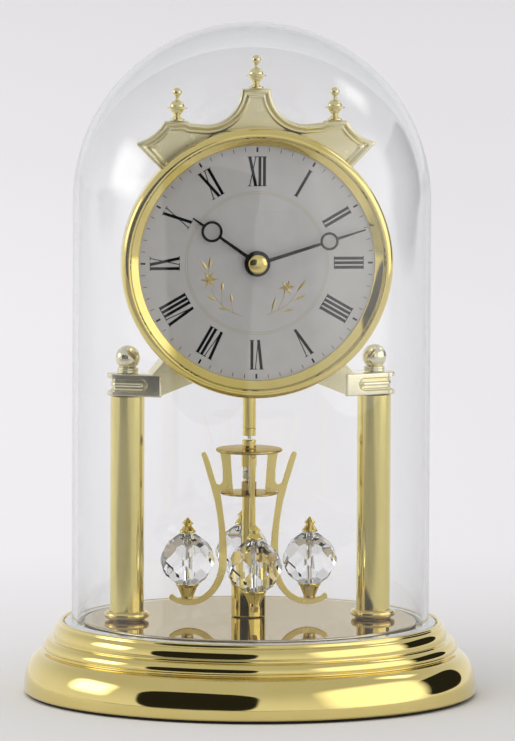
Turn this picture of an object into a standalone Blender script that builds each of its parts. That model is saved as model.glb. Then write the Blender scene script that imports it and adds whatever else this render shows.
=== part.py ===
"""Anniversary clock: a quartz torsion-pendulum mantel clock under a lift-off glass dome.

Run with: blender --background --python part.py

The origin is the centre of the base's underside. +Z is up, +X is to the right of someone who
faces the dial, and the dial faces -Y. All lengths below are metres.
"""

import math

import bmesh
import bpy
from mathutils import Matrix, Vector

MM = 0.001
GAP = 0.3 * MM  # clearance between pieces that rest on or in each other

# Driving dimensions
BASE_R = 100.0 * MM
CLOCK_H = 298.4 * MM
PLATFORM_R = 73.5 * MM
PLATFORM_Z = 33.8 * MM  # top of the mirror platform
DECK_Z = 31.0 * MM  # top of the base shell's flat deck
FELT_T = 1.0 * MM
DOME_R = 79.0 * MM
DOME_WALL = 2.5 * MM
COLUMN_X = 54.7 * MM
COLUMN_R = 7.5 * MM
BRIDGE_Z = (133.6 * MM, 143.4 * MM)  # underside and top of the bridge's end blocks
DIAL_Z = 194.1 * MM
DIAL_R = 56.0 * MM
BEZEL_R = 59.5 * MM
DRUM_R = 51.0 * MM
DRUM_FRONT = 21.7 * MM  # how far the drum's front wall stands in front of the clock's axis
DIAL_FRONT = 22.7 * MM  # how far the dial's face stands in front of the clock's axis
PENDULUM_Y = 8.0 * MM  # the pendulum hangs this far behind the clock's axis
BALL_ORBIT = 27.2 * MM
BALL_R = 11.45 * MM
BALL_Z = 59.1 * MM
HOUR_ANGLE = math.radians(305.5)  # clockwise from twelve, seen from the front
MINUTE_ANGLE = math.radians(72.5)

# Motion work: the hour hand turns once for twelve turns of the minute hand
CANNON_TEETH, MINUTE_WHEEL_TEETH = 12, 36
MINUTE_PINION_TEETH, HOUR_WHEEL_TEETH = 10, 40
WHEEL_CENTRES = 10.8 * MM  # distance from the centre arbor to the minute wheel's arbor
WHEEL_DIRECTION = math.radians(45.0)  # where the minute wheel's arbor lies, from +X towards +Z


# Scene, collections and materials

for old in list(bpy.data.objects):
    bpy.data.objects.remove(old, do_unlink=True)

clock = bpy.data.collections.new("anniversary_clock")
cutters = bpy.data.collections.new("cutters")
for collection in (clock, cutters):
    bpy.context.scene.collection.children.link(collection)


def make_material(name, colour, roughness, metallic, alpha=1.0):
    """A Principled material of one colour."""
    material = bpy.data.materials.new(name)
    material.use_nodes = True
    shader = material.node_tree.nodes["Principled BSDF"]
    shader.inputs["Base Color"].default_value = (*colour, 1.0)
    shader.inputs["Roughness"].default_value = roughness
    shader.inputs["Metallic"].default_value = metallic
    shader.inputs["Alpha"].default_value = alpha
    return material


BRASS = make_material("polished_brass", (0.80, 0.66, 0.30), 0.12, 1.0)
MIRROR = make_material("mirror_brass", (0.74, 0.68, 0.56), 0.05, 1.0)
DIAL_METAL = make_material("dial_metal", (0.72, 0.71, 0.67), 0.35, 0.8)
BLACK_PAINT = make_material("black_paint", (0.02, 0.02, 0.02), 0.3, 0.0)
BLACK_PLASTIC = make_material("black_plastic", (0.03, 0.03, 0.03), 0.45, 0.0)
WHITE_PLASTIC = make_material("white_plastic", (0.85, 0.84, 0.80), 0.4, 0.0)
STEEL = make_material("steel", (0.60, 0.60, 0.62), 0.3, 1.0)
BOARD_GREEN = make_material("circuit_board", (0.05, 0.25, 0.12), 0.5, 0.0)
BATTERY_SKIN = make_material("battery_skin", (0.25, 0.30, 0.45), 0.35, 0.4)
FELT = make_material("felt", (0.03, 0.03, 0.03), 0.95, 0.0)
CRYSTAL = make_material("crystal", (0.95, 0.96, 0.98), 0.02, 0.0, 0.35)
DOME_GLASS = make_material("dome_glass", (0.97, 0.98, 0.98), 0.01, 0.0, 0.15)


# Helpers for shapes


def add_object(name, data, material, parent=None, location=(0, 0, 0), rotation=(0, 0, 0)):
    """Puts mesh or curve data in the clock as one named sub-part."""
    part = bpy.data.objects.new(name, data)
    clock.objects.link(part)
    part.parent = parent
    part.location = location
    part.rotation_euler = rotation
    data.materials.append(material)
    return part


def add_empty(name, location, rotation=(0, 0, 0)):
    """An empty on an axis, which the pieces on that axis are parented to."""
    empty = bpy.data.objects.new(name, None)
    clock.objects.link(empty)
    empty.location = location
    empty.rotation_euler = rotation
    empty.empty_display_size = 10 * MM
    return empty


def arc(centre, radii, start, end, count):
    """Points along an elliptical arc, both ends included; angles in degrees from +X."""
    points = []
    for i in range(count + 1):
        angle = math.radians(start + (end - start) * i / count)
        points.append((centre[0] + radii[0] * math.cos(angle), centre[1] + radii[1] * math.sin(angle)))
    return points


def millimetres(points):
    """The same points, from millimetres to metres."""
    return [(a * MM, b * MM) for a, b in points]


def turned(name, profile, material, steps, parent=None, location=(0, 0, 0), rotation=(0, 0, 0)):
    """A solid of revolution about local Z. The profile of (radius, height) starts at the top and runs
    down the outer side. It ends on the axis, or closes on its first point when it never meets the axis."""
    mesh = bpy.data.meshes.new(name)
    edges = [(i, i + 1) for i in range(len(profile) - 1)]
    if profile[0][0] > 0:
        edges.append((len(profile) - 1, 0))
    mesh.from_pydata([(r, 0, z) for r, z in profile], edges, [])
    part = add_object(name, mesh, material, parent, location, rotation)
    screw = part.modifiers.new("turn", "SCREW")
    screw.axis = "Z"
    screw.steps = steps
    screw.render_steps = steps
    screw.use_merge_vertices = True
    screw.merge_threshold = 0.00001
    screw.use_smooth_shade = True
    return part


def flat(name, outlines, thickness, material, parent=None, location=(0, 0, 0), rotation=(0, 0, 0)):
    """A flat plate from closed outlines in local XY, the first one outside and the rest holes.
    Its mid-plane is local Z = 0."""
    curve = bpy.data.curves.new(name, "CURVE")
    curve.dimensions = "2D"
    curve.fill_mode = "BOTH"
    curve.extrude = thickness / 2
    for outline in outlines:
        spline = curve.splines.new("POLY")
        spline.points.add(len(outline) - 1)
        for point, (x, y) in zip(spline.points, outline):
            point.co = (x, y, 0, 1)
        spline.use_cyclic_u = True
    return add_object(name, curve, material, parent, location, rotation)


def circle(radius, count):
    """A closed circle's points."""
    return arc((0, 0), (radius, radius), 0, 360 - 360 / count, count - 1)


def as_mesh(part):
    """Replaces a part with a plain welded mesh in world space, so that Booleans can use it."""
    bpy.context.view_layer.update()
    graph = bpy.context.evaluated_depsgraph_get()
    mesh = bpy.data.meshes.new_from_object(part.evaluated_get(graph))
    mesh.transform(part.matrix_world)
    work = bmesh.new()
    work.from_mesh(mesh)
    bmesh.ops.remove_doubles(work, verts=work.verts, dist=0.000001)
    work.to_mesh(mesh)
    work.free()
    name = part.name
    bpy.data.objects.remove(part)
    solid = bpy.data.objects.new(name, mesh)
    clock.objects.link(solid)
    return solid


def box(name, low, high, material):
    """A box between two corners."""
    mesh = bpy.data.meshes.new(name)
    work = bmesh.new()
    bmesh.ops.create_cube(work, size=1)
    size = [b - a for a, b in zip(low, high)]
    middle = [(a + b) / 2 for a, b in zip(low, high)]
    bmesh.ops.scale(work, vec=size, verts=work.verts)
    bmesh.ops.translate(work, vec=middle, verts=work.verts)
    work.to_mesh(mesh)
    work.free()
    return add_object(name, mesh, material)


def rod(name, radius, z_low, z_high, material, sides=16, parent=None, location=(0, 0, 0)):
    """A plain round rod along local Z."""
    mesh = bpy.data.meshes.new(name)
    work = bmesh.new()
    move = Matrix.Translation((0, 0, (z_low + z_high) / 2))
    bmesh.ops.create_cone(
        work, cap_ends=True, segments=sides, radius1=radius, radius2=radius,
        depth=z_high - z_low, matrix=move,
    )
    work.to_mesh(mesh)
    work.free()
    return add_object(name, mesh, material, parent, location)


def hide_as_cutter(part):
    """Moves a shape to the cutters, where it only serves a Boolean."""
    clock.objects.unlink(part)
    cutters.objects.link(part)
    part.hide_render = True
    part.display_type = "WIRE"


def combine(part, other, operation):
    """Adds a Boolean to part: UNION joins the other shape to it and DIFFERENCE cuts it away."""
    boolean = part.modifiers.new(other.name, "BOOLEAN")
    boolean.operation = operation
    boolean.object = other
    boolean.solver = "EXACT"
    hide_as_cutter(other)


def drill(part, name, radius, low, high, axis="Z", sides=16):
    """Cuts a round hole between two points that lie on a line along Z or Y."""
    low, high = Vector(low), Vector(high)
    length = (high - low).length
    tool = rod(name, radius, -length / 2, length / 2, STEEL, sides)
    tool.location = (low + high) / 2
    if axis == "Y":
        tool.rotation_euler = (math.radians(90), 0, 0)
    combine(part, tool, "DIFFERENCE")


def soften(part, width, segments=1):
    """Rounds a mesh's sharp edges."""
    bevel = part.modifiers.new("soften", "BEVEL")
    bevel.width = width
    bevel.segments = segments
    bevel.limit_method = "ANGLE"


def shade_round(part, angle=math.radians(35)):
    """Smooth shading with sharp edges kept."""
    part.data.shade_smooth()
    part.data.set_sharp_from_angle(angle=angle)


def gear_outline(teeth, pitch_r, phase):
    """A toothed wheel's outline; phase is the direction of one tooth's middle, in radians."""
    module = 2 * pitch_r / teeth
    tip, root = pitch_r + 0.72 * module, pitch_r - 1.1 * module
    pitch = 2 * math.pi / teeth
    points = []
    for tooth in range(teeth):
        middle = phase + tooth * pitch
        for radius, part in ((root, -0.27), (tip, -0.09), (tip, 0.09), (root, 0.27)):
            angle = middle + part * pitch
            points.append((radius * math.cos(angle), radius * math.sin(angle)))
    return points


# Stand: base, platform, columns


def make_base():
    """The stepped base shell, its cover plate and the felt that it rests on."""
    deck, edge = DECK_Z / MM, BASE_R / MM
    lip = arc((83.6, 32.3), (0.9, 0.9), 180, 0, 3)
    upper_ovolo = arc((84.6, 26.4), (2.5, 4.9), 90, 0, 3)
    roll = arc((88.6, 21.2), (3.0, 3.9), 90, 0, 3)
    main_ovolo = arc((91.6, 4.4), (edge - 91.6, 14.9), 90, 0, 6)
    outside = [(2.6, deck), (82.7, deck)] + lip + upper_ovolo + [(87.1, 25.1)] + roll
    outside += [(90.8, 21.0), (90.8, 19.5)] + main_ovolo + [(edge, 2.2), (edge - 0.9, 1.3)]
    inside = [(97.6, 1.3), (97.6, 5.0), (95.6, 12.6), (88.8, 18.0), (88.6, 22.4), (84.6, 23.4)]
    inside += [(82.4, deck - 2.0), (2.6, deck - 2.0)]
    shell = turned("base_shell", millimetres(outside + inside), BRASS, 36)
    for side in (-1, 1):
        x = side * COLUMN_X
        drill(shell, f"deck_hole_{side}", 2.4 * MM, (x, 0, 20 * MM), (x, 0, 40 * MM))
    plate = [(0, 2.8), (96.8, 2.8), (96.8, 1.3), (0, 1.3)]
    turned("base_cover", millimetres(plate), BLACK_PLASTIC, 36)
    pad = [(0, FELT_T), (97.4 * MM, FELT_T), (97.4 * MM, 0), (0, 0)]
    turned("base_felt", pad, FELT, 36)


def make_platform():
    """The mirror-polished disc that the columns and the guide tube stand on."""
    low = DECK_Z + GAP
    edge = [(PLATFORM_R - 0.6 * MM, PLATFORM_Z), (PLATFORM_R, PLATFORM_Z - 0.6 * MM), (PLATFORM_R, low)]
    disc = turned("platform", [(0, PLATFORM_Z)] + edge + [(0, low)], MIRROR, 40)
    for name, x, y in (("left", -COLUMN_X, 0), ("right", COLUMN_X, 0), ("guide", 0, PENDULUM_Y)):
        drill(disc, f"platform_hole_{name}", 2.4 * MM, (x, y, 25 * MM), (x, y, 40 * MM))


def make_column(side, label):
    """A tube column with its turned foot ring, tie bolt and the ball finial that clamps the bridge."""
    x = side * COLUMN_X
    low, high = PLATFORM_Z + GAP, BRIDGE_Z[0] - GAP
    bore = 6.2 * MM
    tube = [(bore, high), (COLUMN_R, high), (COLUMN_R, low), (bore, low)]
    turned(f"column_{label}", tube, BRASS, 24, location=(x, 0, 0))
    ring = arc((8.6, 2.1), (1.4, 1.8), 100, -80, 6)
    ring = [(7.8, 3.9)] + ring[1:] + [(7.8, 0.3)]
    turned(f"foot_ring_{label}", millimetres(ring), BRASS, 20, location=(x, 0, PLATFORM_Z))
    bolt = [(0, 148.0), (2.0, 148.0), (2.0, 28.7), (4.6, 28.7), (4.6, 25.6), (0, 25.6)]
    turned(f"tie_bolt_{label}", millimetres(bolt), STEEL, 12, location=(x, 0, 0))
    ball = arc((0, 6.8), (5.45, 5.45), 90, -52, 7) + [(4.1, 1.6), (4.7, 1.2), (4.7, 0.3)]
    thread = [(2.3, 0.3), (2.3, 5.2), (0, 5.2)]
    turned(f"ball_finial_{label}", millimetres(ball + thread), BRASS, 16, location=(x, 0, BRIDGE_Z[1]))


# Head: bridge, bezel, dial, pediment


def make_bridge():
    """One moulding: the drum that carries the movement, two sloping arms and the blocks on the columns."""
    outer, wall, front, rear, bush_hole = DRUM_R / MM, 2.0, DRUM_FRONT / MM, -4.0, 4.6
    profile = [(outer - 0.6, front), (outer, front - 0.6), (outer, rear), (outer - wall, rear)]
    profile += [(outer - wall, front - wall), (bush_hole, front - wall), (bush_hole, front)]
    drum = as_mesh(turned("bridge", millimetres(profile), BRASS, 56, dial_axis))
    low, high = BRIDGE_Z[0] / MM, BRIDGE_Z[1] / MM
    for side, label in ((-1, "left"), (1, "right")):
        inner, corner, tip = 41.6, 60.3, 63.9
        plan = [(inner - 2, -11.5), (inner, -11.5), (corner, -4.7)]
        plan += arc((corner, 0), (tip - corner, 4.7), -60, 60, 4)
        plan += [(corner, 4.7), (inner, 8.0), (inner - 2, 8.0)]
        outline = millimetres([(side * x, y) for x, y in plan])
        middle = (0, 0, (low + high) / 2 * MM)
        block = flat(f"bridge_block_{label}", [outline], (high - low) * MM, BRASS, location=middle)
        combine(drum, as_mesh(block), "UNION")
        rise = math.tan(math.radians(22))
        slope = math.tan(math.radians(50))
        under, over, reach, crest = low + 0.2, high - 0.2, 15.0, 32.5
        face = [(inner + 1.5, under), (inner, under), (reach, under + (inner - reach) * rise), (reach, 146.0)]
        face += [(crest, over + (inner + 3.4 - crest) * slope), (inner + 3.4, over)]
        outline = millimetres([(side * x, z) for x, z in face])
        upright = (math.pi / 2, 0, 0)
        arm = flat(f"bridge_arm_{label}", [outline], 19.0 * MM, BRASS, None, (0, -1.6 * MM, 0), upright)
        combine(drum, as_mesh(arm), "UNION")
        x = side * COLUMN_X
        drill(drum, f"block_hole_{label}", 2.4 * MM, (x, 0, 125 * MM), (x, 0, 150 * MM))
    bore_r = DRUM_R - (wall + 0.1) * MM
    inside = rod("drum_bore", bore_r, (rear + 1.0) * MM, (front - wall - 0.1) * MM, STEEL, 56, dial_axis)
    combine(drum, as_mesh(inside), "DIFFERENCE")
    shade_round(drum)


def make_bezel():
    """The stepped brass ring round the dial, with the skirt behind it."""
    edge, back, seat = BEZEL_R / MM, 18.0, DIAL_FRONT / MM + 0.3
    rim = arc((56.6, 25.0), (edge - 56.6, 3.8), 100, 0, 4)
    inner_slope = [(51.8, seat), (51.8, 24.0), (53.4, 25.4), (55.4, 26.4), (55.6, 28.2)]
    skirt = [(edge, back), (57.7, back), (57.7, 22.4), (57.2, seat)]
    turned("bezel", millimetres(skirt + inner_slope + rim), BRASS, 48, dial_axis)


def make_dial():
    """The round dial plate."""
    front, back = DIAL_FRONT, DIAL_FRONT - 0.6 * MM
    hole = 4.4 * MM
    plate = [(hole, front), (DIAL_R, front), (DIAL_R, back), (hole, back)]
    turned("dial_plate", plate, DIAL_METAL, 48, dial_axis)


def make_pediment():
    """The shaped crown plate behind the bezel, and its three turned finials."""
    top, shoulder, foot = 76.1, 62.0, 41.6
    sweep = arc((21.8, top), (15.5, 15.7), 180, 275, 6)
    outer_curve = arc((56.6, 70.9), (18.8, 18.8), 208.3, 255.2, 4)
    inner_edge = arc((0, 0), (DRUM_R / MM + 0.6, DRUM_R / MM + 0.6), 44, 90, 6)
    right = sweep + [(29.2, shoulder - 0.7), (30.2, shoulder)] + outer_curve
    right += [(53.2, 52.4), (42.6, foot)] + inner_edge
    left = [(-x, z) for x, z in right[-2::-1]]
    flat("pediment", [millimetres(left + right)], 3.0 * MM, BRASS, dial_axis, location=(0, 0, 16.0 * MM))
    ball = arc((0, 12.6), (2.0, 2.0), 90, -66, 4)
    bulb = [(0.9, 9.8), (2.9, 7.6), (4.6, 6.1), (4.6, 5.5), (2.9, 4.6), (1.4, 2.3), (3.3, 0.8), (3.3, 0.3)]
    profile = millimetres(ball + bulb + [(0, 0.3)])
    for label, x, z in (("left", -34.6, shoulder), ("centre", 0.0, top), ("right", 34.6, shoulder)):
        place = (x * MM, -16.0 * MM, DIAL_Z + z * MM)
        turned(f"pediment_finial_{label}", profile, BRASS, 12, location=place)


# Movement and hands


def hand_outline(hub, shaft, ring_centre, ring, tip):
    """A hand that points along +Y: hub disc, tapered shaft, open ring and pointed tip, in millimetres."""
    top = math.degrees(math.asin(0.9 / ring))
    right = [(0.15, tip), (0.9, ring_centre + ring * 1.05)]
    right += arc((0, ring_centre), (ring, ring), 90 - top - 4, -90 + math.degrees(math.asin(shaft / ring)), 8)
    meet = 90 - math.degrees(math.asin(1.5 * shaft / hub))
    right += arc((0, 0), (hub, hub), meet, -90, 7)
    left = [(-x, y) for x, y in right[::-1]][1:]
    return millimetres(right + left)


def make_hand(name, angle, front, hub, bore, shaft, ring_centre, ring, tip):
    """One hand, turned to its time on the dial's axis; front is its distance ahead of the clock's axis."""
    outlines = [hand_outline(hub, shaft, ring_centre, ring, tip)]
    outlines.append(circle(bore * MM, 16))
    outlines.append([(x, y + ring_centre * MM) for x, y in circle((ring - 0.9) * MM, 16)])
    flat(name, outlines, 0.5 * MM, BLACK_PAINT, dial_axis, (0, 0, front * MM), (0, 0, -angle))


def make_hands():
    """Both hands and the domed nut that holds them."""
    make_hand("hour_hand", HOUR_ANGLE, 25.2, 5.7, 2.9, 0.9, 24.6, 4.6, 35.0)
    make_hand("minute_hand", MINUTE_ANGLE, 26.8, 4.9, 1.7, 0.8, 33.0, 3.9, 49.7)
    nut = arc((0, 27.4), (4.2, 1.9), 90, 0, 4) + [(0, 27.4)]
    turned("hand_nut", millimetres(nut), BRASS, 16, dial_axis)


def make_motion_work():
    """Centre arbor with cannon pinion, hour wheel with pipe, and minute wheel with pinion and rear arbor."""
    towards = WHEEL_DIRECTION
    back = towards + math.pi
    cannon_r = WHEEL_CENTRES * CANNON_TEETH / (CANNON_TEETH + MINUTE_WHEEL_TEETH)
    hour_r = WHEEL_CENTRES * HOUR_WHEEL_TEETH / (HOUR_WHEEL_TEETH + MINUTE_PINION_TEETH)
    minute_plane, hour_plane, width = 15.5 * MM, 17.1 * MM, 1.2 * MM

    arbor = as_mesh(rod("minute_arbor", 1.4 * MM, 12.0 * MM, 27.0 * MM, STEEL, 12, dial_axis))
    arbor.data.materials.append(STEEL)
    half_pitch = math.pi / CANNON_TEETH
    outline = gear_outline(CANNON_TEETH, cannon_r, towards + half_pitch)
    pinion = flat("cannon_pinion", [outline], width, STEEL, dial_axis, (0, 0, minute_plane))
    combine(arbor, as_mesh(pinion), "UNION")

    pipe = [(1.7, 25.5), (2.6, 25.5), (2.6, 16.5), (1.7, 16.5)]
    wheel = as_mesh(turned("hour_wheel", millimetres(pipe), BRASS, 16, dial_axis))
    outline = gear_outline(HOUR_WHEEL_TEETH, hour_r, towards)
    teeth = flat("hour_teeth", [outline, circle(2.2 * MM, 16)], width, BRASS, dial_axis, (0, 0, hour_plane))
    combine(wheel, as_mesh(teeth), "UNION")

    place = (WHEEL_CENTRES * math.cos(towards), WHEEL_CENTRES * math.sin(towards), 0)
    shaft = as_mesh(rod("minute_wheel", 1.0 * MM, -2.4 * MM, 17.9 * MM, STEEL, 12, dial_axis, place))
    shaft.data.materials.append(BRASS)
    outline = gear_outline(MINUTE_WHEEL_TEETH, WHEEL_CENTRES - cannon_r, back)
    big = flat("minute_teeth", [outline], width, BRASS, dial_axis, (*place[:2], minute_plane))
    combine(shaft, as_mesh(big), "UNION")
    half_pitch = math.pi / MINUTE_PINION_TEETH
    outline = gear_outline(MINUTE_PINION_TEETH, WHEEL_CENTRES - hour_r, back + half_pitch)
    small = flat("minute_leaves", [outline], 2.0 * MM, BRASS, dial_axis, (*place[:2], hour_plane - 0.4 * MM))
    combine(shaft, as_mesh(small), "UNION")

    socket = [(0, -2.8), (1.3, -2.8), (1.3, 3.6)]
    grip = [(3.0, 3.6), (3.0, 2.4), (6.0, 2.0), (6.0, -4.0), (5.4, -4.6), (0, -4.6)]
    turned("setting_knob", millimetres(socket + grip), WHITE_PLASTIC, 16, dial_axis, place)


def dial_box(name, low, high, material):
    """A box given as (x, height over the dial centre, distance ahead of the clock's axis) in millimetres."""
    corner_a = (low[0] * MM, -high[2] * MM, DIAL_Z + low[1] * MM)
    corner_b = (high[0] * MM, -low[2] * MM, DIAL_Z + high[1] * MM)
    return box(name, corner_a, corner_b, material)


def make_movement():
    """The quartz movement: housing with bush and battery tray, cover, board, battery and contacts."""
    housing = dial_box("movement_housing", (-28, -28, 4.4), (28, 28, 19.4), BLACK_PLASTIC)
    bay = dial_box("wheel_bay", (-26.6, -10.4, 3.0), (26.6, 26.6, 18.3), BLACK_PLASTIC)
    tray = dial_box("battery_tray", (-26.6, -27.1, 3.0), (26.6, -11.4, 18.3), BLACK_PLASTIC)
    for hollow in (bay, tray):
        combine(housing, hollow, "DIFFERENCE")
    bush = as_mesh(rod("bush", 4.1 * MM, 18.0 * MM, 24.4 * MM, BLACK_PLASTIC, 16, dial_axis))
    combine(housing, bush, "UNION")
    drill(housing, "bush_bore", 2.9 * MM, (0, -30 * MM, DIAL_Z), (0, -15 * MM, DIAL_Z), "Y")
    cover = dial_box("movement_cover", (-27.7, -10.9, 2.6), (27.7, 27.7, 4.1), WHITE_PLASTIC)
    x = WHEEL_CENTRES * math.cos(WHEEL_DIRECTION)
    z = DIAL_Z + WHEEL_CENTRES * math.sin(WHEEL_DIRECTION)
    drill(cover, "cover_hole", 3.4 * MM, (x, -6 * MM, z), (x, 0, z), "Y")
    dial_box("circuit_board", (-25, 10.5, 4.5), (-5, 25.5, 5.4), BOARD_GREEN)
    profile = [(0, 25.2), (2.7, 25.2), (2.7, 24.2), (7.15, 24.2), (7.15, -24.2), (0, -24.2)]
    turned(
        "battery", millimetres(profile), BATTERY_SKIN, 20,
        location=(0, -10.6 * MM, DIAL_Z - 19.25 * MM), rotation=(0, math.radians(90), 0),
    )
    dial_box("contact_plus", (25.6, -24.0, 6.5), (26.2, -14.5, 14.5), STEEL)
    dial_box("contact_minus", (-26.2, -24.0, 6.5), (-24.6, -14.5, 14.5), STEEL)


# Pendulum


def make_suspension():
    """The drive housing behind the dial and the fixed tube that the pendulum hangs out of."""
    drive = dial_box("pendulum_drive", (-14, -44.0, -13.0), (14, -28.4, 19.3), BLACK_PLASTIC)
    soften(drive, 1.2 * MM)
    tube = [(1.7, 149.8), (4.4, 149.8), (4.4, 147.0), (2.95, 146.4), (2.95, 114.3), (1.7, 114.3)]
    turned("suspension_tube", millimetres(tube), BRASS, 16, location=(0, PENDULUM_Y, 0))


def make_pendulum_core():
    """Spindle, collar, two discs, hub sleeve, rating nut and rod, all on the pendulum's axis."""
    spindle = [(0, 148.0), (0.8, 148.0), (0.8, 112.9), (0, 112.9)]
    turned("suspension_spindle", millimetres(spindle), STEEL, 10, pendulum_axis)
    collar = [(0, 112.6), (2.6, 112.6), (3.1, 112.1), (3.1, 108.9), (0, 108.9)]
    turned("pendulum_collar", millimetres(collar), BRASS, 16, pendulum_axis)
    upper = [(0, 108.6), (14.3, 108.6), (14.75, 108.1), (14.75, 107.6), (14.3, 107.2), (0, 107.2)]
    turned("upper_disc", millimetres(upper), BRASS, 32, pendulum_axis)
    sleeve = [(0, 106.9), (3.4, 106.9), (3.4, 100.6), (0, 100.6)]
    turned("hub_sleeve", millimetres(sleeve), BRASS, 16, pendulum_axis)
    nut = [(0, 100.3), (1.6, 100.3), (1.6, 98.8), (2.9, 98.5), (2.9, 95.4), (1.6, 95.1), (1.6, 94.0)]
    nut += [(0, 94.0)]
    turned("rating_nut", millimetres(nut), STEEL, 12, pendulum_axis)
    lower = [(0, 93.7), (3.3, 93.7), (3.3, 89.1), (12.4, 89.1), (12.65, 88.7), (12.4, 88.3), (0, 88.3)]
    turned("lower_disc", millimetres(lower), BRASS, 32, pendulum_axis)
    rod_profile = [(0, 88.0), (3.0, 88.0), (3.0, 42.5), (2.2, 41.4), (0, 41.4)]
    turned("pendulum_rod", millimetres(rod_profile), BRASS, 16, pendulum_axis)


def arm_outline():
    """One stamped arm as (distance from the axis, height) in millimetres: an inner prong that joins the two
    discs, an outer prong, a stem that narrows downwards and a hook that turns outwards under the ball."""
    inner_prong = [(7.1, 89.4), (7.7, 97.0), (8.4, 106.9), (12.9, 106.9), (11.7, 99.0)]
    notch = arc((13.3, 94.4), (1.6, 1.7), 180, 340, 4)
    outer_prong = [(17.4, 102.4)] + arc((20.0, 105.9), (1.15, 1.15), 150, -10, 4)
    outer_edge = [(18.3, 96.1), (16.4, 89.5), (14.6, 82.0), (13.5, 74.0), (13.1, 66.0)]
    hook_top = arc((26.0, 59.0), (12.9, 17.5), 183, 263, 7) + [(30.0, 41.5), (33.0, 43.0)]
    hook_tip = arc((34.3, 42.7), (1.0, 1.2), 90, -70, 3)
    hook_under = arc((26.4, 59.0), (16.6, 20.1), 296, 182, 9)
    stem = [(9.9, 66.0), (10.9, 76.0), (12.0, 84.0), (12.95, 88.0), (12.95, 89.4)]
    outside = inner_prong + notch + outer_prong + outer_edge
    return millimetres(outside + hook_top + hook_tip + hook_under + stem)


def make_pendulum_arm(index):
    """A quarter of the pendulum's head: the arm, the cup on its hook, the ball, and the cap with its pin."""
    angle = index * math.pi / 2
    label = ("right", "back", "left", "front")[index]
    flat(f"arm_{label}", [arm_outline()], 2.0 * MM, BRASS, pendulum_axis, rotation=(math.pi / 2, 0, angle))
    place = (BALL_ORBIT * math.cos(angle), BALL_ORBIT * math.sin(angle), 0)
    cup = [(1.1, 47.3), (4.6, 48.6), (5.2, 48.4), (5.2, 47.9), (3.8, 45.4), (2.65, 43.4), (2.65, 41.9)]
    cup += [(1.1, 41.9)]
    turned(f"cup_{label}", millimetres(cup), BRASS, 12, pendulum_axis, place)
    edge = arc((0, 0), (BALL_R, BALL_R), 66, -66, 6)
    high = BALL_R * math.cos(math.radians(9))
    ball = [(1.2 * MM, high)] + edge + [(1.2 * MM, -high)]
    ball = [(r, BALL_Z + z) for r, z in ball]
    turned(f"crystal_{label}", ball, CRYSTAL, 10, pendulum_axis, place)
    cap = [(0, 78.0), (0.7, 77.8), (2.6, 75.6), (2.6, 74.6), (3.65, 73.4), (3.65, 71.3), (0.8, 71.3)]
    cap += [(0.8, 43.0), (0, 43.0)]
    turned(f"cap_{label}", millimetres(cap), BRASS, 10, pendulum_axis, place)


def make_guide_tube():
    """The short tube on the platform that the pendulum's rod hangs in, and its screw."""
    low, high = PLATFORM_Z / MM + 0.3, 52.2
    tube = [(8.8, high)] + arc((11.0, 47.0), (3.35, 5.2), 118, 180, 3) + [(7.65, low), (2.6, low)]
    tube += [(2.6, low + 2.0), (6.4, low + 2.0), (6.4, 46.0), (7.0, 49.5)]
    turned("guide_tube", millimetres(tube), BRASS, 20, location=(0, PENDULUM_Y, 0))
    screw = [(0, 38.4), (3.6, 38.4), (3.6, 36.4), (2.0, 36.4), (2.0, 31.3), (0, 31.3)]
    turned("guide_tube_screw", millimetres(screw), STEEL, 12, location=(0, PENDULUM_Y, 0))


def make_dome():
    """The glass dome: a straight wall under a half sphere, with a foot that flares outwards."""
    outer, inner = DOME_R / MM, (DOME_R - DOME_WALL) / MM
    centre = CLOCK_H / MM - outer
    low = DECK_Z / MM + 0.3
    profile = arc((0, centre), (outer, outer), 90, 0, 8)
    profile += [(outer, 37.6), (81.0, 35.8), (82.2, 33.8), (82.2, low + 0.4), (81.8, low), (inner, low)]
    profile += arc((0, centre), (inner, inner), 0, 90, 8)
    turned("glass_dome", millimetres(profile), DOME_GLASS, 36)


dial_axis = add_empty("dial_axis", (0, 0, DIAL_Z), (math.radians(90), 0, 0))
pendulum_axis = add_empty("pendulum_axis", (0, PENDULUM_Y, 0))

make_base()
make_platform()
make_column(-1, "left")
make_column(1, "right")
make_bridge()
make_bezel()
make_dial()
make_pediment()
make_movement()
make_motion_work()
make_hands()
make_suspension()
make_pendulum_core()
for quarter in range(4):
    make_pendulum_arm(quarter)
make_guide_tube()
make_dome()
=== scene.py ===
"""Looks of an anniversary clock: fine meshes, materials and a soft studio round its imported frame.

Every place comes from the frame's own boxes. Profiles and outlines are in millimetres, as the
constant MM says, and everything else is in metres. The dial faces -Y and +Z is up.
"""

import math

import bmesh
import bpy
from mathutils import Matrix, Quaternion, Vector


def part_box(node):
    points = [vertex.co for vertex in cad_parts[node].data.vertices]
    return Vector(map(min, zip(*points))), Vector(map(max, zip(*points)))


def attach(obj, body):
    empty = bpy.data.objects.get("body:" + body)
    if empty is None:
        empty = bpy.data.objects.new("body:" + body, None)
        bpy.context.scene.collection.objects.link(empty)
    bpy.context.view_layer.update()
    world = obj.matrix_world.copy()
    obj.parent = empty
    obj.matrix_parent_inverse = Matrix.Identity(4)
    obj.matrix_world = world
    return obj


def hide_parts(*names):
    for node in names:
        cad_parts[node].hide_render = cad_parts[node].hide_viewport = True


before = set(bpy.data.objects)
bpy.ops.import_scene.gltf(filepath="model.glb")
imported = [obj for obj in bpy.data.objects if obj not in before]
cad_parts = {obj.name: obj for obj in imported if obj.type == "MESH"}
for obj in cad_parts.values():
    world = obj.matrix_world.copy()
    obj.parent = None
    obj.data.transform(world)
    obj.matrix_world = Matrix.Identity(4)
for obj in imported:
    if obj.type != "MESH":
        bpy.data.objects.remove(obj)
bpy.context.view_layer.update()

MM = 0.001
QUARTERS = ("right", "back", "left", "front")
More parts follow.
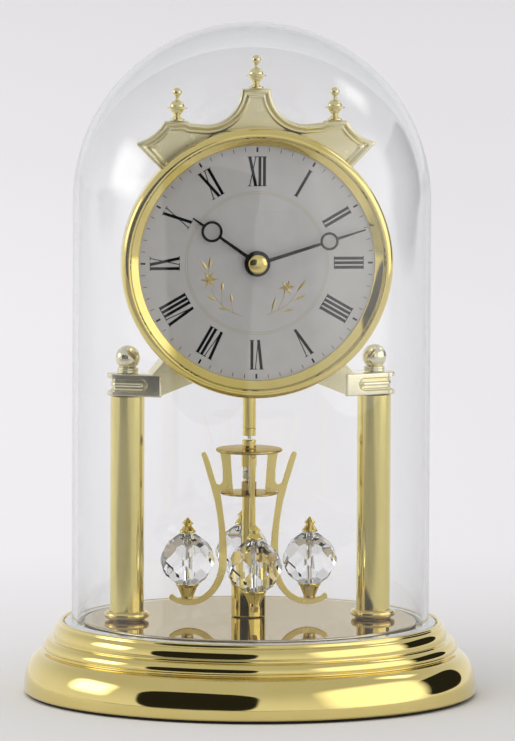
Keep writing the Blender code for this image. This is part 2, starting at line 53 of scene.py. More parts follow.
UPRIGHT = Matrix.Identity(4)
CLOCK_MIDDLE = Vector((0, 0, 0.15))


def limits(node):
    """A CAD node's lowest and highest corners in millimetres."""
    low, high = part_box(node)
    return low / MM, high / MM


def middle(node):
    """The middle of a CAD node's box in millimetres."""
    low, high = limits(node)
    return (low + high) / 2


DIAL_CENTRE = middle("dial_plate")
DIAL_FRONT = -limits("dial_plate")[0].y
DIAL_AXIS = Matrix.Translation((0, 0, DIAL_CENTRE.z * MM)) @ Matrix.Rotation(math.pi / 2, 4, "X")
PENDULUM_Y = middle("pendulum_rod").y
PENDULUM_AXIS = Matrix.Translation((0, PENDULUM_Y * MM, 0))


# Camera, light and floor


def toward(azimuth, elevation):
    """The direction from the clock to a place round it; azimuth 0 is in front of the dial and 90 is on
    its right."""
    a, e = math.radians(azimuth), math.radians(elevation)
    return Vector((math.sin(a) * math.cos(e), -math.cos(a) * math.cos(e), math.sin(e)))


def in_scene(name, data):
    """A new object that holds the data, linked to the scene."""
    holder = bpy.data.objects.new(name, data)
    bpy.context.scene.collection.objects.link(holder)
    return holder


def set_camera():
    """A long lens, a little to the left of the dial's own line of sight and a little above it."""
    distance = 6.0
    target = Vector((2.76, 0, 143.98)) * MM
    back = toward(-5.69, 6.49)
    camera = bpy.data.cameras.new("camera")
    camera.lens = 660.3
    camera.sensor_width = 36.0
    camera.clip_start = 0.1
    camera.clip_end = 100.0
    holder = in_scene("camera", camera)
    holder.location = target + back * distance
    holder.rotation_mode = "QUATERNION"
    roll = Quaternion((0, 0, 1), math.radians(0.268))
    holder.rotation_quaternion = back.to_track_quat("Z", "Y") @ roll
    bpy.context.scene.camera = holder


def face_clock(azimuth, elevation, distance):
    """A place round the clock, turned to face the clock's middle."""
    place = CLOCK_MIDDLE + toward(azimuth, elevation) * distance
    aim = CLOCK_MIDDLE - place
    return Matrix.Translation(place) @ aim.to_track_quat("-Z", "Y").to_matrix().to_4x4()


def on_floor(azimuth, distance):
    """A place on the floor round the clock, with local Y pointing away from the clock."""
    turn = Matrix.Rotation(math.radians(azimuth), 4, "Z")
    return turn @ Matrix.Translation((0, -distance, 0.002)) @ Matrix.Rotation(math.pi, 4, "Z")


def soft_sun(name, azimuth, elevation, strength, spread):
    """Even light that shapes the matt surfaces; polished ones see the glowing panels instead."""
    light = bpy.data.lights.new(name, "SUN")
    light.energy = strength
    light.angle = math.radians(spread)
    holder = in_scene(name, light)
    holder.matrix_world = face_clock(azimuth, elevation, 3.0)
    holder.visible_camera = False
    holder.visible_glossy = False
    holder.visible_transmission = False


def panel(name, place, size, shade, softness=0.5, cover=1.0):
    """A round-cornered card that only polished metal and glass see: dark ones are flags or, lying on the
    floor, painted shade; bright ones are softboxes."""
    width, height = size[0] / 2, size[1] / 2
    corners = [(-width, -height, 0), (width, -height, 0), (width, height, 0), (-width, height, 0)]
    mesh = bpy.data.meshes.new(name)
    mesh.from_pydata(corners, [], [(0, 1, 2, 3)])
    card = in_scene(name, mesh)
    card.matrix_world = place
    n = Nodes(name)
    split = n.add("SeparateXYZ", {"Vector": n.add("TexCoord").outputs["Object"]})
    powers = []
    for axis, half in (("X", width), ("Y", height)):
        reach = n.add("Math", {0: split.outputs[axis]}, operation="ABSOLUTE").outputs[0]
        reach = n.add("Math", {0: reach, 1: half}, operation="DIVIDE").outputs[0]
        powers.append(n.add("Math", {0: reach, 1: 4.0}, operation="POWER").outputs[0])
    total = n.add("Math", {0: powers[0], 1: powers[1]}).outputs[0]
    reach = n.add("Math", {0: total, 1: 0.25}, operation="POWER").outputs[0]
    share = n.spread(reach, cover, 0.0, 1.0 - softness, 1.0)
    glow = n.add("Emission", {"Color": (1.0, 0.99, 0.97), "Strength": shade})
    mix = n.add("MixShader", {0: share})
    n.tree.links.new(n.add("BsdfTransparent").outputs[0], mix.inputs[1])
    n.tree.links.new(glow.outputs[0], mix.inputs[2])
    n.tree.links.new(mix.outputs[0], n.output.inputs["Surface"])
    mesh.materials.append(n.material)
    for kind in ("camera", "diffuse", "shadow"):
        setattr(card, "visible_" + kind, False)


# Materials


class Nodes:
    """A material's node tree, with short calls to add and join its nodes."""

    def __init__(self, name):
        self.material = bpy.data.materials.new(name)
        self.material.use_nodes = True
        self.tree = self.material.node_tree
        self.shader = self.tree.nodes["Principled BSDF"]
        self.output = self.tree.nodes["Material Output"]

    def join(self, value, socket):
        """Links a socket to another, or sets a plain value on it."""
        if isinstance(value, bpy.types.NodeSocket):
            self.tree.links.new(value, socket)
        elif isinstance(value, tuple) and len(value) == 3 and socket.type == "RGBA":
            socket.default_value = (*value, 1.0)
        else:
            socket.default_value = value

    def add(self, kind, inputs=(), **settings):
        """Adds a node; inputs is a dictionary from socket names or numbers to values or sockets."""
        node = self.tree.nodes.new("ShaderNode" + kind)
        for key, value in settings.items():
            setattr(node, key, value)
        for key, value in dict(inputs).items():
            self.join(value, node.inputs[key])
        return node

    def set(self, **values):
        """Sets the Principled shader's sockets; an underscore stands for a space."""
        for key, value in values.items():
            self.join(value, self.shader.inputs[key.replace("_", " ")])

    def place(self, scale=(1, 1, 1), rotation=(0, 0, 0)):
        """Object coordinates, stretched."""
        coordinates = self.add("TexCoord").outputs["Object"]
        return self.add("Mapping", {"Vector": coordinates, "Scale": scale, "Rotation": rotation}).outputs[0]

    def noise(self, scale, detail=3.0, roughness=0.55, at=None):
        """Noise of a size in metres: scale is about one over that size."""
        inputs = {"Vector": at or self.place(), "Scale": scale, "Detail": detail, "Roughness": roughness}
        return self.add("TexNoise", inputs).outputs["Fac"]

    def spread(self, value, low, high, start=0.3, end=0.7):
        """Maps a value's range onto another."""
        inputs = {"Value": value, "From Min": start, "From Max": end, "To Min": low, "To Max": high}
        return self.add("MapRange", inputs).outputs["Result"]

    def blend(self, factor, first, second, mode="MIX"):
        """Mixes two colours."""
        node = self.add("Mix", {"Factor": factor}, data_type="RGBA", blend_type=mode)
        self.join(first, node.inputs[6])
        self.join(second, node.inputs[7])
        return node.outputs[2]

    def bump(self, height, strength, distance):
        """A bump normal from a height."""
        inputs = {"Height": height, "Strength": strength, "Distance": distance}
        self.set(Normal=self.add("Bump", inputs).outputs[0])


def metal(name, colour, deep, roughness, grain=(400, 400, 400), grain_depth=0.04, edge=(1, 1, 1)):
    """A lacquered or plated metal: colour drifts towards deep, with faint wiping marks and a fine grain.
    The edge colour tints what is seen at a grazing angle."""
    n = Nodes(name)
    n.set(Specular_Tint=edge)
    drift = n.noise(60.0, 4.0)
    n.set(Base_Color=n.blend(n.spread(drift, 0.0, 1.0), colour, deep), Metallic=1.0)
    smears = n.noise(1.0, 3.0, 0.6, n.place(tuple(axis * 0.35 for axis in grain)))
    n.set(Roughness=n.spread(smears, roughness * 0.8, roughness * 1.3))
    fine = n.noise(1.0, 2.0, 0.5, n.place(tuple(axis * 4.0 for axis in grain)))
    n.bump(fine, grain_depth, 0.00005)
    return n.material


def plastic(name, colour, roughness, grain_depth=0.25, sheen=0.45):
    """Moulded plastic with a fine spark-eroded grain and slightly uneven gloss."""
    n = Nodes(name)
    cloud = n.noise(90.0, 4.0)
    darker = tuple(value * 0.8 for value in colour)
    n.set(Base_Color=n.blend(n.spread(cloud, 0.0, 1.0), colour, darker))
    n.set(Roughness=n.spread(cloud, roughness * 0.85, roughness * 1.15), Specular_IOR_Level=sheen)
    n.bump(n.noise(5200.0, 2.0), grain_depth, 0.00005)
    return n.material


def clear(name, tint, rim, ior, shadow, ramp=(0.55, 0.9)):
    """Clear glass that lets light through to what it covers. Where it is seen edge-on its colour turns to
    the rim colour, a painted shade that darkens its outline, over a ramp from facing the viewer (0) to
    edge-on (1)."""
    n = Nodes(name)
    # Painted shade: the colour darkens towards the rim colour where the glass is seen edge-on.
    edge = n.spread(n.add("LayerWeight", {"Blend": 0.5}).outputs["Facing"], 0.0, 1.0, *ramp)
    n.set(Base_Color=n.blend(edge, tint, rim), IOR=ior, Transmission_Weight=1.0)
    film = n.noise(35.0, 5.0, 0.6)
    n.set(Roughness=n.spread(film, 0.0, 0.004, 0.45, 0.8))
    through = n.add("BsdfTransparent", {"Color": shadow})
    is_shadow = n.add("LightPath").outputs["Is Shadow Ray"]
    mix = n.add("MixShader", {0: is_shadow})
    n.tree.links.new(n.shader.outputs[0], mix.inputs[1])
    n.tree.links.new(through.outputs[0], mix.inputs[2])
    n.tree.links.new(mix.outputs[0], n.output.inputs["Surface"])
    return n.material


def dial_metal():
    """Silvered sheet with a fine upright brushing, and soft upright stripes of painted sheen in its colour.
    """
    n = Nodes("silvered_dial")
    fine = n.noise(1.0, 3.0, 0.6, n.place((5200, 5200, 60)))
    # Painted sheen: soft upright stripes, lighter and darker, put into the colour.
    painted_sheen_bands = n.noise(1.0, 2.0, 0.4, n.place((150, 150, 3)))
    tone = n.blend(n.spread(painted_sheen_bands, 0.0, 1.0), (0.59, 0.572, 0.56), (0.63, 0.612, 0.60))
    tone = n.blend(n.spread(fine, 0.0, 0.16), tone, (0.50, 0.488, 0.477))
    n.set(Base_Color=tone, Metallic=0.35, Roughness=n.spread(fine, 0.38, 0.5), Specular_IOR_Level=0.4)
    n.bump(fine, 0.08, 0.00004)
    return n.material


def felt_cloth():
    """Black felt: matt, with short matted fibres."""
    n = Nodes("black_felt")
    fibres = n.noise(2600.0, 5.0, 0.7)
    tone = n.blend(n.spread(fibres, 0, 1), (0.006, 0.006, 0.007), (0.03, 0.03, 0.032))
    n.set(Base_Color=tone, Roughness=0.95)
    n.set(Sheen_Weight=0.35, Sheen_Roughness=0.6, Sheen_Tint=(0.3, 0.3, 0.3))
    n.bump(fibres, 0.8, 0.0004)
    return n.material


def floor_with_painted_shade():
    """Pale matt paper with painted shade: darker near the clock, where its shadow falls, darker towards its
    right, away from the light, and a little darker in the distance.
    """
    n = Nodes("floor_paper")
    split = n.add("SeparateXYZ", {"Vector": n.add("TexCoord").outputs["Object"]})
    # Painted shadow of the clock: the paper is darker near it and lighter further out.
    away = n.spread(split.outputs["Y"], 0.0, 1.0, 0.0, 0.5)
    level = n.blend(away, (0.675, 0.661, 0.646), (0.835, 0.818, 0.833))
    # Painted falloff of light: a little darker in the distance.
    distance_falloff_shade = n.spread(split.outputs["Y"], 1.0, 0.91, 1.5, 3.6)
    # Painted shade: darker towards the right, away from the light on the left.
    side = n.spread(split.outputs["X"], 1.06, 0.94, -0.3, 0.3)
    cloud = n.spread(n.noise(0.9, 2.0), 0.985, 1.015)
    painted_shade_gain = n.add("Math", {0: side, 1: cloud}, operation="MULTIPLY").outputs[0]
    painted_shade_gain = n.add("Math", {0: painted_shade_gain, 1: distance_falloff_shade}, operation="MULTIPLY").outputs[0]
    tone = n.blend(1.0, level, n.add("CombineColor", {0: painted_shade_gain, 1: painted_shade_gain, 2: painted_shade_gain}).outputs[0], "MULTIPLY")
    n.set(Base_Color=tone, Roughness=0.75, Specular_IOR_Level=0.2)
    n.bump(n.noise(900.0, 3.0), 0.05, 0.0002)
    return n.material


def battery_skin():
    """Plain foil sleeve: dark body with a copper-coloured band at the plus end."""
    n = Nodes("battery_foil")
    split = n.add("SeparateXYZ", {"Vector": n.add("TexCoord").outputs["Object"]}).outputs["X"]
    edge = n.add("Math", {0: split, 1: 0.012}, operation="GREATER_THAN").outputs[0]
    n.set(Base_Color=n.blend(edge, (0.03, 0.035, 0.05), (0.55, 0.26, 0.12)), Metallic=0.6)
    n.set(Roughness=n.spread(n.noise(300.0), 0.25, 0.4))
    n.bump(n.noise(700.0, 2.0), 0.05, 0.0001)
    return n.material


BRASS = metal("polished_brass", (0.80, 0.665, 0.27), (0.77, 0.63, 0.235), 0.05, (40, 40, 900))
GOLD = metal("bezel_gold", (0.82, 0.68, 0.235), (0.78, 0.63, 0.19), 0.07, (300, 300, 300))
DISC = metal(
    "disc_brass", (0.60, 0.49, 0.20), (0.55, 0.44, 0.17), 0.12, (300, 300, 300), 0.04, (0.72, 0.60, 0.30),
)
FINIAL = metal("finial_gold", (0.84, 0.76, 0.42), (0.80, 0.71, 0.36), 0.07, (300, 300, 300))
CHAMPAGNE = metal("champagne_plate", (0.82, 0.77, 0.56), (0.78, 0.73, 0.51), 0.06, (300, 300, 300))
SATIN = metal("satin_gold", (0.87, 0.80, 0.51), (0.84, 0.77, 0.48), 0.30, (500, 500, 500), 0.02)
STAMPED = metal("stamped_gold", (0.90, 0.74, 0.28), (0.86, 0.70, 0.25), 0.30, (500, 500, 500), 0.02)
COLUMN = metal("column_brass", (0.79, 0.69, 0.27), (0.75, 0.64, 0.23), 0.10, (900, 900, 25), 0.05)
MIRROR = metal(
    "mirror_platform", (0.62, 0.55, 0.44), (0.60, 0.53, 0.42), 0.03, (200, 200, 200), 0.01,
    (0.80, 0.74, 0.60),
)
NICKEL = metal("nickel", (0.66, 0.65, 0.62), (0.58, 0.57, 0.54), 0.16, (300, 300, 300))
GILT = metal("gilt_relief", (0.70, 0.58, 0.28), (0.60, 0.48, 0.20), 0.30, (900, 900, 900), 0.05)
PALE_GOLD = metal("ring_gold", (0.56, 0.52, 0.38), (0.50, 0.46, 0.33), 0.42, (900, 900, 900), 0.05)
BLACK = plastic("black_lacquer", (0.004, 0.004, 0.004), 0.25, 0.04, 0.25)
INK = plastic("black_print", (0.005, 0.005, 0.006), 0.5, 0.1, 0.1)
GROUND_GLASS = plastic("ground_glass", (0.62, 0.64, 0.63), 0.16, 0.05, 0.5)
BLACK_PLASTIC = plastic("black_plastic", (0.018, 0.018, 0.019), 0.42)
WHITE_PLASTIC = plastic("ivory_plastic", (0.72, 0.70, 0.65), 0.38, 0.15)
BOARD = plastic("circuit_board", (0.02, 0.12, 0.05), 0.4, 0.1)
# The rim colours are painted shade on the outlines: strong on the dome, faint on the crystals.
DOME_GLASS = clear(
    "dome_glass", (0.985, 0.988, 0.988), (0.70, 0.715, 0.712), 1.46, (0.96, 0.965, 0.965), (0.32, 0.95),
)
CRYSTAL = clear("cut_crystal", (0.99, 0.99, 1.0), (0.95, 0.95, 0.97), 1.42, (0.88, 0.89, 0.91))
DIAL_METAL = dial_metal()
FELT = felt_cloth()
BATTERY = battery_skin()


# Shapes


def arc(centre, radii, start, end, count):
    """Points along an elliptical arc, both ends included; angles in degrees from +X."""
    points = []
    for i in range(count + 1):
        angle = math.radians(start + (end - start) * i / count)
        points.append((centre[0] + radii[0] * math.cos(angle), centre[1] + radii[1] * math.sin(angle)))
    return points


def eased(points, radius, steps=3, closed=False):
    """Rounds a path's corners: each one becomes a short curve that starts radius away from it. A point
    just before and after the curve keeps the shading of long straight stretches flat."""
    count = len(points)
    result = []
    for i, corner in enumerate(points):
        if not closed and i in (0, count - 1):
            result.append(corner)
            continue
        here = Vector(corner)
        before, after = Vector(points[i - 1]), Vector(points[(i + 1) % count])
        first, last = (before - here), (after - here)
        if min(first.length, last.length) < 1e-6 or first.angle(-last) < math.radians(14):
            result.append(corner)
            continue
        start = here + first.normalized() * min(radius, first.length * 0.3)
        end = here + last.normalized() * min(radius, last.length * 0.3)
        if first.length > 5 * radius:
            result.append(tuple(here + first.normalized() * radius * 1.4))
        for step in range(steps + 1):
            t = step / steps
            result.append(tuple(start * (1 - t) ** 2 + here * 2 * t * (1 - t) + end * t * t))
        if last.length > 5 * radius:
            result.append(tuple(here + last.normalized() * radius * 1.4))
    return result


def smoothed(mesh, sharp=32):
    """The mesh shaded smooth, except at edges that turn more sharply than the angle in degrees."""
    mesh.shade_smooth()
    mesh.set_sharp_from_angle(angle=math.radians(sharp))
    return mesh


def baked(holder, *extras):
    """An object's mesh as its curve settings or modifiers make it; the objects are used up."""
    bpy.context.view_layer.update()
    graph = bpy.context.evaluated_depsgraph_get()
    mesh = bpy.data.meshes.new_from_object(holder.evaluated_get(graph))
    for used in (holder, *extras):
        bpy.data.objects.remove(used)
    return mesh


def welded(name, curve, sharp=32):
    """A solid curve's mesh, with its loose caps joined on."""
    raw = baked(in_scene(name, curve))
    work = bmesh.new()
    work.from_mesh(raw)
    bmesh.ops.remove_doubles(work, verts=work.verts, dist=0.0005)
    bpy.data.meshes.remove(raw)
    return mesh_from(work, name, sharp)


def mesh_from(work, name, sharp=32):
    """A finished mesh from bmesh data in millimetres: normals out, smooth, with its real edges sharp."""
    bmesh.ops.recalc_face_normals(work, faces=work.faces)
    bmesh.ops.scale(work, vec=(MM, MM, MM), verts=work.verts)
    mesh = bpy.data.meshes.new(name)
    work.to_mesh(mesh)
    work.free()
    return smoothed(mesh, sharp)


def loft(rings, name, sharp=32):
    """Skins closed rings of equally many 3-D points, with a flat cap at each end."""
    work = bmesh.new()
    rows = [[work.verts.new(point) for point in ring] for ring in rings]
    for upper, lower in zip(rows, rows[1:]):
        for i in range(len(upper)):
            work.faces.new((upper[i - 1], upper[i], lower[i], lower[i - 1]))
    work.faces.new(rows[0])
    work.faces.new(rows[-1])
    return mesh_from(work, name, sharp)


def lathe(profile, steps, name="turned", sharp=32):
    """Turns a profile of (radius, height) about Z. It closes on itself unless it ends on the axis."""
    work = bmesh.new()
    rows = []
    for radius, height in profile:
        if radius < 1e-6:
            rows.append([work.verts.new((0, 0, height))] * steps)
            continue
        row = []
        for i in range(steps):
            angle = 2 * math.pi * i / steps
            row.append(work.verts.new((radius * math.cos(angle), radius * math.sin(angle), height)))
        rows.append(row)
    if profile[0][0] > 1e-6:
        rows.append(rows[0])
    for upper, lower in zip(rows, rows[1:]):
        for i in range(steps):
            corners = []
            for vert in (upper[i - 1], upper[i], lower[i], lower[i - 1]):
                if vert not in corners:
                    corners.append(vert)
            if len(corners) > 2:
                work.faces.new(corners)
    return mesh_from(work, name, sharp)


def crisp_caps(mesh):
    """Marks the edges round the faces that look along local Z as sharp, so that they shade flat."""
    work = bmesh.new()
    work.from_mesh(mesh)
    for edge in work.edges:
        flat = [abs(face.normal.z) > 0.9999 for face in edge.link_faces]
        if any(flat) and not all(flat):
            edge.smooth = False
    work.to_mesh(mesh)
    work.free()


def plate(outlines, thickness, bevel=0.0, name="plate", sharp=32):
    """A flat plate from closed outlines in local XY, the first outside and the rest holes or islands,
    with softened edges. Its mid-plane is local Z = 0."""
    curve = bpy.data.curves.new(name, "CURVE")
    curve.dimensions = "2D"
    curve.fill_mode = "BOTH"
    curve.extrude = thickness / 2 - bevel
    curve.bevel_depth = bevel
    curve.bevel_resolution = 1
    curve.offset = -bevel
    for outline in outlines:
        spline = curve.splines.new("POLY")
        spline.points.add(len(outline) - 1)
        for point, (x, y) in zip(spline.points, outline):
            point.co = (x, y, 0, 1)
        spline.use_cyclic_u = True
    mesh = welded(name, curve, sharp)
    crisp_caps(mesh)
    return mesh


def circle(radius, count, centre=(0, 0)):
    """A closed circle's points."""
    return arc(centre, (radius, radius), 0, 360 - 360 / count, count - 1)


def joined(meshes, name):
    """Several meshes as one."""
    work = bmesh.new()
    for mesh in meshes:
        work.from_mesh(mesh)
        bpy.data.meshes.remove(mesh)
    result = bpy.data.meshes.new(name)
    work.to_mesh(result)
    work.free()
    return smoothed(result)


def piece(name, mesh, material, body, place=UPRIGHT, replaced=()):
    """Puts a mesh in the scene as one piece that rides on a CAD body and may stand for CAD nodes."""
    part = in_scene(name, mesh)
    part.matrix_world = place
    mesh.materials.clear()
    mesh.materials.append(material)
    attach(part, body)
    if replaced:
        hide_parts(*replaced)
    return part


def fine(node, mesh, material, body, slot, place=UPRIGHT):
    """A fine mesh that stands for the CAD node of nearly the same name."""
    return piece("fine_" + node, mesh, material, body, place, (node,))


def shift(x=0.0, y=0.0, z=0.0):
    """A move in millimetres."""
    return Matrix.Translation(Vector((x, y, z)) * MM)


def cut(mesh, tool):
    """Cuts one mesh with another; the tool is used up."""
    first, second = in_scene("cut_first", mesh), in_scene("cut_second", tool)
    boolean = first.modifiers.new("cut", "BOOLEAN")
    boolean.operation = "DIFFERENCE"
    boolean.object = second
    boolean.solver = "EXACT"
    return smoothed(baked(first, second))


# Stand


def make_base():
    """The spun shell in one smooth profile, and the felt under it."""
    low, high = limits("base_shell")
    edge, foot, top = high.x, low.z, high.z
    deck = top - 2.2
    lip = arc((edge - 16.4, top - 0.9), (0.9, 0.9), 180, -8, 10)
    upper_ovolo = arc((edge - 15.4, foot + 25.1), (2.5, 4.9), 80, 0, 10)
    roll = arc((edge - 11.4, foot + 19.9), (3.0, 3.9), 88, -4, 10)
    main_ovolo = arc((edge - 8.4, foot + 3.1), (8.4, 14.9), 90, 0, 26)
    outside = [(2.6, deck), (edge - 17.3, deck)] + lip + [(edge - 15.3, foot + 30.2)] + upper_ovolo
    outside += [(edge - 12.9, foot + 23.9)] + roll + [(edge - 9.2, foot + 19.4), (edge - 9.2, foot + 18.3)]
    outside += main_ovolo + [(edge, foot + 0.9), (edge - 0.9, foot)]
    inside = [(edge - 2.4, foot), (edge - 2.4, foot + 3.7), (edge - 4.4, foot + 11.3)]
    inside += [(edge - 11.2, foot + 16.7), (edge - 11.4, foot + 21.1), (edge - 15.4, foot + 22.1)]
    inside += [(edge - 17.6, deck - 2.0), (2.6, deck - 2.0)]
    fine("base_shell", lathe(eased(outside + inside, 0.35), 256, sharp=40), BRASS, "frame", "polished_brass")
    low, high = limits("base_felt")
    pad = [(0, high.z), (high.x, high.z), (high.x + 0.2, high.z / 2), (high.x, low.z), (0, low.z)]
    fine("base_felt", lathe(eased(pad, 0.4), 128), FELT, "frame", "felt")


def make_platform():
    """The mirror disc with its softly broken edge."""
    low, high = limits("platform")
    profile = [(0, high.z), (high.x - 0.5, high.z), (high.x, high.z - 0.5), (high.x, low.z), (0, low.z)]
    fine("platform", lathe(eased(profile, 0.25), 160), MIRROR, "frame", "mirror_brass")


def make_columns():
    """The two tubes, the rings at their feet and the balls over the end blocks."""
    for label in ("left", "right"):
        low, high = limits("column_" + label)
        centre, radius = middle("column_" + label), (high.x - low.x) / 2
        tube = [(radius - 1.3, high.z), (radius, high.z), (radius, low.z), (radius - 1.3, low.z)]
        place = shift(centre.x)
        tube_mesh = lathe(eased(tube, 0.15, closed=True), 96)
        fine("column_" + label, tube_mesh, COLUMN, "frame", "polished_brass", place)
        low, high = limits("foot_ring_" + label)
        radius = (high.x - low.x) / 2
        ring = [(7.8, high.z - 0.1), (8.3, high.z)]
        ring += arc((radius - 1.5, low.z + 1.9), (1.5, 1.55), 80, -75, 14)
        ring += [(8.2, low.z + 0.35), (8.1, low.z), (7.8, low.z)]
        ring_mesh = lathe(eased(ring, 0.15, closed=True), 72)
        fine("foot_ring_" + label, ring_mesh, BRASS, "frame", "polished_brass", place)
        low, high = limits("ball_finial_" + label)
        radius, seat = 5.45, low.z
        ball = arc((0, high.z - radius), (radius, radius), 90, -50, 26) + [(3.75, seat + 2.35)]
        collar = [(4.35, seat + 2.2), (4.7, seat + 1.9), (4.7, seat + 1.25), (4.45, seat + 1.1)]
        collar += [(4.7, seat + 0.95), (4.7, seat + 0.15), (4.55, seat), (2.3, seat), (2.3, seat + 4.0)]
        ball_mesh = lathe(eased(ball + collar + [(0, seat + 4.0)], 0.12), 64)
        fine("ball_finial_" + label, ball_mesh, CHAMPAGNE, "frame", "polished_brass", place)


# Head


def block_mesh(side):
    """An end block: a slab whose outer end and front carry a routed cove with a bead along its middle."""
    low, high = limits("column_left")[1].z + 0.3, limits("ball_finial_left")[0].z - 0.3
    inner, corner, tip = 40.6, 60.3, 63.9
    path = [(inner, -10.9), (41.4, -11.5), (corner, -4.7)]
    path += arc((corner, 0), (tip - corner, 4.7), -80, 80, 16) + [(corner, 4.7), (41.6, 7.9), (inner, 7.7)]
    path = eased(path, 0.5)
    dense, travelled = [], 0.0
    for start, end in zip(path, path[1:]):
        start, end = Vector(start), Vector(end)
        length = (end - start).length
        count = max(1, math.ceil(length / 0.3))
        for i in range(count):
            dense.append((start.lerp(end, i / count), travelled + length * i / count))
        travelled += length
    dense.append((Vector(path[-1]), travelled))
    cove_start, cove, bead = 9.8, 2.9, 1.35
    front_end = 1.0 + math.hypot(corner - 41.4, 6.8)
    centre = (low + high) / 2
    rows = 72
    rings = []
    for row in range(rows + 1):
        z = low + (high - low) * row / rows
        edge_gap = min(z - low, high - z)
        rounding = 0.0 if edge_gap > 0.5 else 0.5 - math.sqrt(0.25 - (0.5 - edge_gap) ** 2)
        ring = []
        for i, (point, along) in enumerate(dense):
            ahead = dense[min(i + 1, len(dense) - 1)][0]
            behind = dense[max(i - 1, 0)][0]
            direction = (ahead - behind).normalized()
            outward = Vector((direction.y, -direction.x))
            at_end = max(0.0, min(1.0, (along - front_end) / 3.0))
            reach = math.hypot(min(along - cove_start, 0.0), z - centre) / cove
            depth = 0.0
            if reach < 1.0 and along < travelled - 4.0:
                floor = (1.9 + 0.7 * at_end) * math.sqrt(1.0 - reach * reach)
                ridge = reach * cove / bead
                top = 0.45 + 1.2 * at_end
                depth = floor
                if ridge < 1.0:
                    depth = min(floor, floor - (floor - top) * math.sqrt(1 - ridge * ridge))
            point = point - outward * (depth + rounding)
            ring.append((side * point.x, point.y, z))
        rings.append(ring)
    return loft(rings, "block", 50)


def make_bridge():
    """The drum, the two sloping arms and the end blocks, which together stand for the bridge moulding."""
    front, rear = DIAL_FRONT - 1.0, -4.0
    outer, wall, bush = 51.0, 2.0, 4.6
    profile = [(outer, front), (outer, rear), (outer - wall, rear), (outer - wall, front - wall)]
    profile += [(bush, front - wall), (bush, front)]
    drum = lathe(eased(profile, 0.4, closed=True), 160)
    piece("drum", drum, SATIN, "frame", DIAL_AXIS, ("bridge",))
    low, high = limits("column_left")[1].z + 0.3, limits("ball_finial_left")[0].z - 0.3
    rise, slope = math.tan(math.radians(22)), math.tan(math.radians(50))
    inner, reach, crest = 41.6, 15.0, 32.5
    for side, label in ((-1, "left"), (1, "right")):
        face = [(inner + 0.5, low + 0.2), (reach, low + 0.2 + (inner - reach) * rise), (reach, 146.0)]
        face += [(crest, high - 0.2 + (inner + 3.4 - crest) * slope), (inner + 3.4, high - 0.2)]
        face += [(inner + 0.5, high - 0.2)]
        outline = [(side * x, z) for x, z in face]
        arm = plate([outline], 19.0, 0.35)
        arm.transform(Matrix.Translation((0, -1.6 * MM, 0)) @ Matrix.Rotation(math.pi / 2, 4, "X"))
        bore_radius, bore_end = outer - wall - 0.1, front - wall - 0.1
        bore = lathe([(0, bore_end), (bore_radius, bore_end), (bore_radius, -12), (0, -12)], 160)
        bore.transform(DIAL_AXIS)
        arm = cut(arm, bore)
        piece("bridge_arm_" + label, arm, SATIN, "frame", UPRIGHT, ("bridge",))
        block = block_mesh(side)
        piece("end_block_" + label, block, CHAMPAGNE, "frame", UPRIGHT, ("bridge",))


def make_bezel():
    """The polished ring: convex outer band, fine step, bright inward slope and lip."""
    low, high = limits("bezel")
    edge, front, back = high.x, -low.y, -high.y
    rim = arc((edge - 2.9, front - 3.6), (2.9, 3.6), 96, 0, 22)
    slope = [(edge - 7.7, DIAL_FRONT + 0.3), (edge - 7.7, DIAL_FRONT + 1.1), (edge - 7.3, front - 4.6)]
    slope += [(edge - 4.2, front - 2.5), (edge - 4.0, front - 2.1), (edge - 4.0, front - 0.9)]
    slope += [(edge - 3.7, front - 0.5), (edge - 3.5, front - 0.15)]
    skirt = [(edge, back), (edge - 1.8, back), (edge - 1.8, DIAL_FRONT - 0.3)]
    skirt.append((edge - 2.3, DIAL_FRONT + 0.3))
    mesh = lathe(eased(skirt + slope + rim, 0.18, closed=True), 240)
    fine("bezel", mesh, GOLD, "frame", "polished_brass", DIAL_AXIS)


def pediment_outline():
    """The crown's outline, clockwise from the top of its crest, as points that say whether they lie on
    the edge behind the bezel."""
    top, shoulder = 76.1, 62.0
    right = arc((21.8, top), (15.5, 15.7), 180, 272, 22) + [(29.0, shoulder - 1.0), (30.2, shoulder)]
    right += arc((56.6, 70.9), (18.8, 18.8), 208.3, 253.0, 16) + [(53.2, 52.4), (42.6, 41.6)]
    hidden = arc((0, 0), (51.6, 51.6), 43.7, 90, 26)
    half = [(point, False) for point in right] + [(point, True) for point in hidden]
    return half + [((-x, z), behind) for (x, z), behind in half[-2::-1]]


def nearest(point, outline):
    """The distance from a point to the nearest side of an outline."""
    sides = zip(outline, outline[1:] + outline[:1])
    gaps = []
    for (start, _), (end, _) in sides:
        start, along = Vector(start), Vector(end) - Vector(start)
        share = max(0.0, min(1.0, (point - start).dot(along) / along.length_squared))
        gaps.append((point - start - along * share).length)
    return min(gaps)


def inset(outline, distance, depth, tip=1.7):
    """The outline moved inwards by a distance at one depth, with mitred corners and rounded tips. Where
    the moved sides would cross, their points gather at the crossing."""
    ring = []
    count = len(outline)
    for i, (corner, behind) in enumerate(outline):
        here = Vector(corner)
        first = (here - Vector(outline[i - 1][0])).normalized()
        last = (Vector(outline[(i + 1) % count][0]) - here).normalized()
        if behind:
            ring.append((here, True))
            continue
        normal = Vector((first.y + last.y, -first.x - last.x)).normalized()
        spot = here + normal * distance / max(0.4, normal.dot(Vector((first.y, -first.x))))
        if first.angle(last) < math.radians(100):
            ring.append((spot, nearest(spot, outline) > distance - 0.05))
            continue
        for step in range(5):
            share = step / 4
            ring.append((spot - first * tip * (1 - share) ** 2 + last * tip * share ** 2, True))
    kept = [i for i, (_, clear_of_sides) in enumerate(ring) if clear_of_sides]
    result = []
    for i in range(len(ring)):
        source = min(kept, key=lambda j: min(abs(i - j), len(ring) - abs(i - j)))
        result.append((ring[source][0].x, ring[source][0].y, depth))
    return result


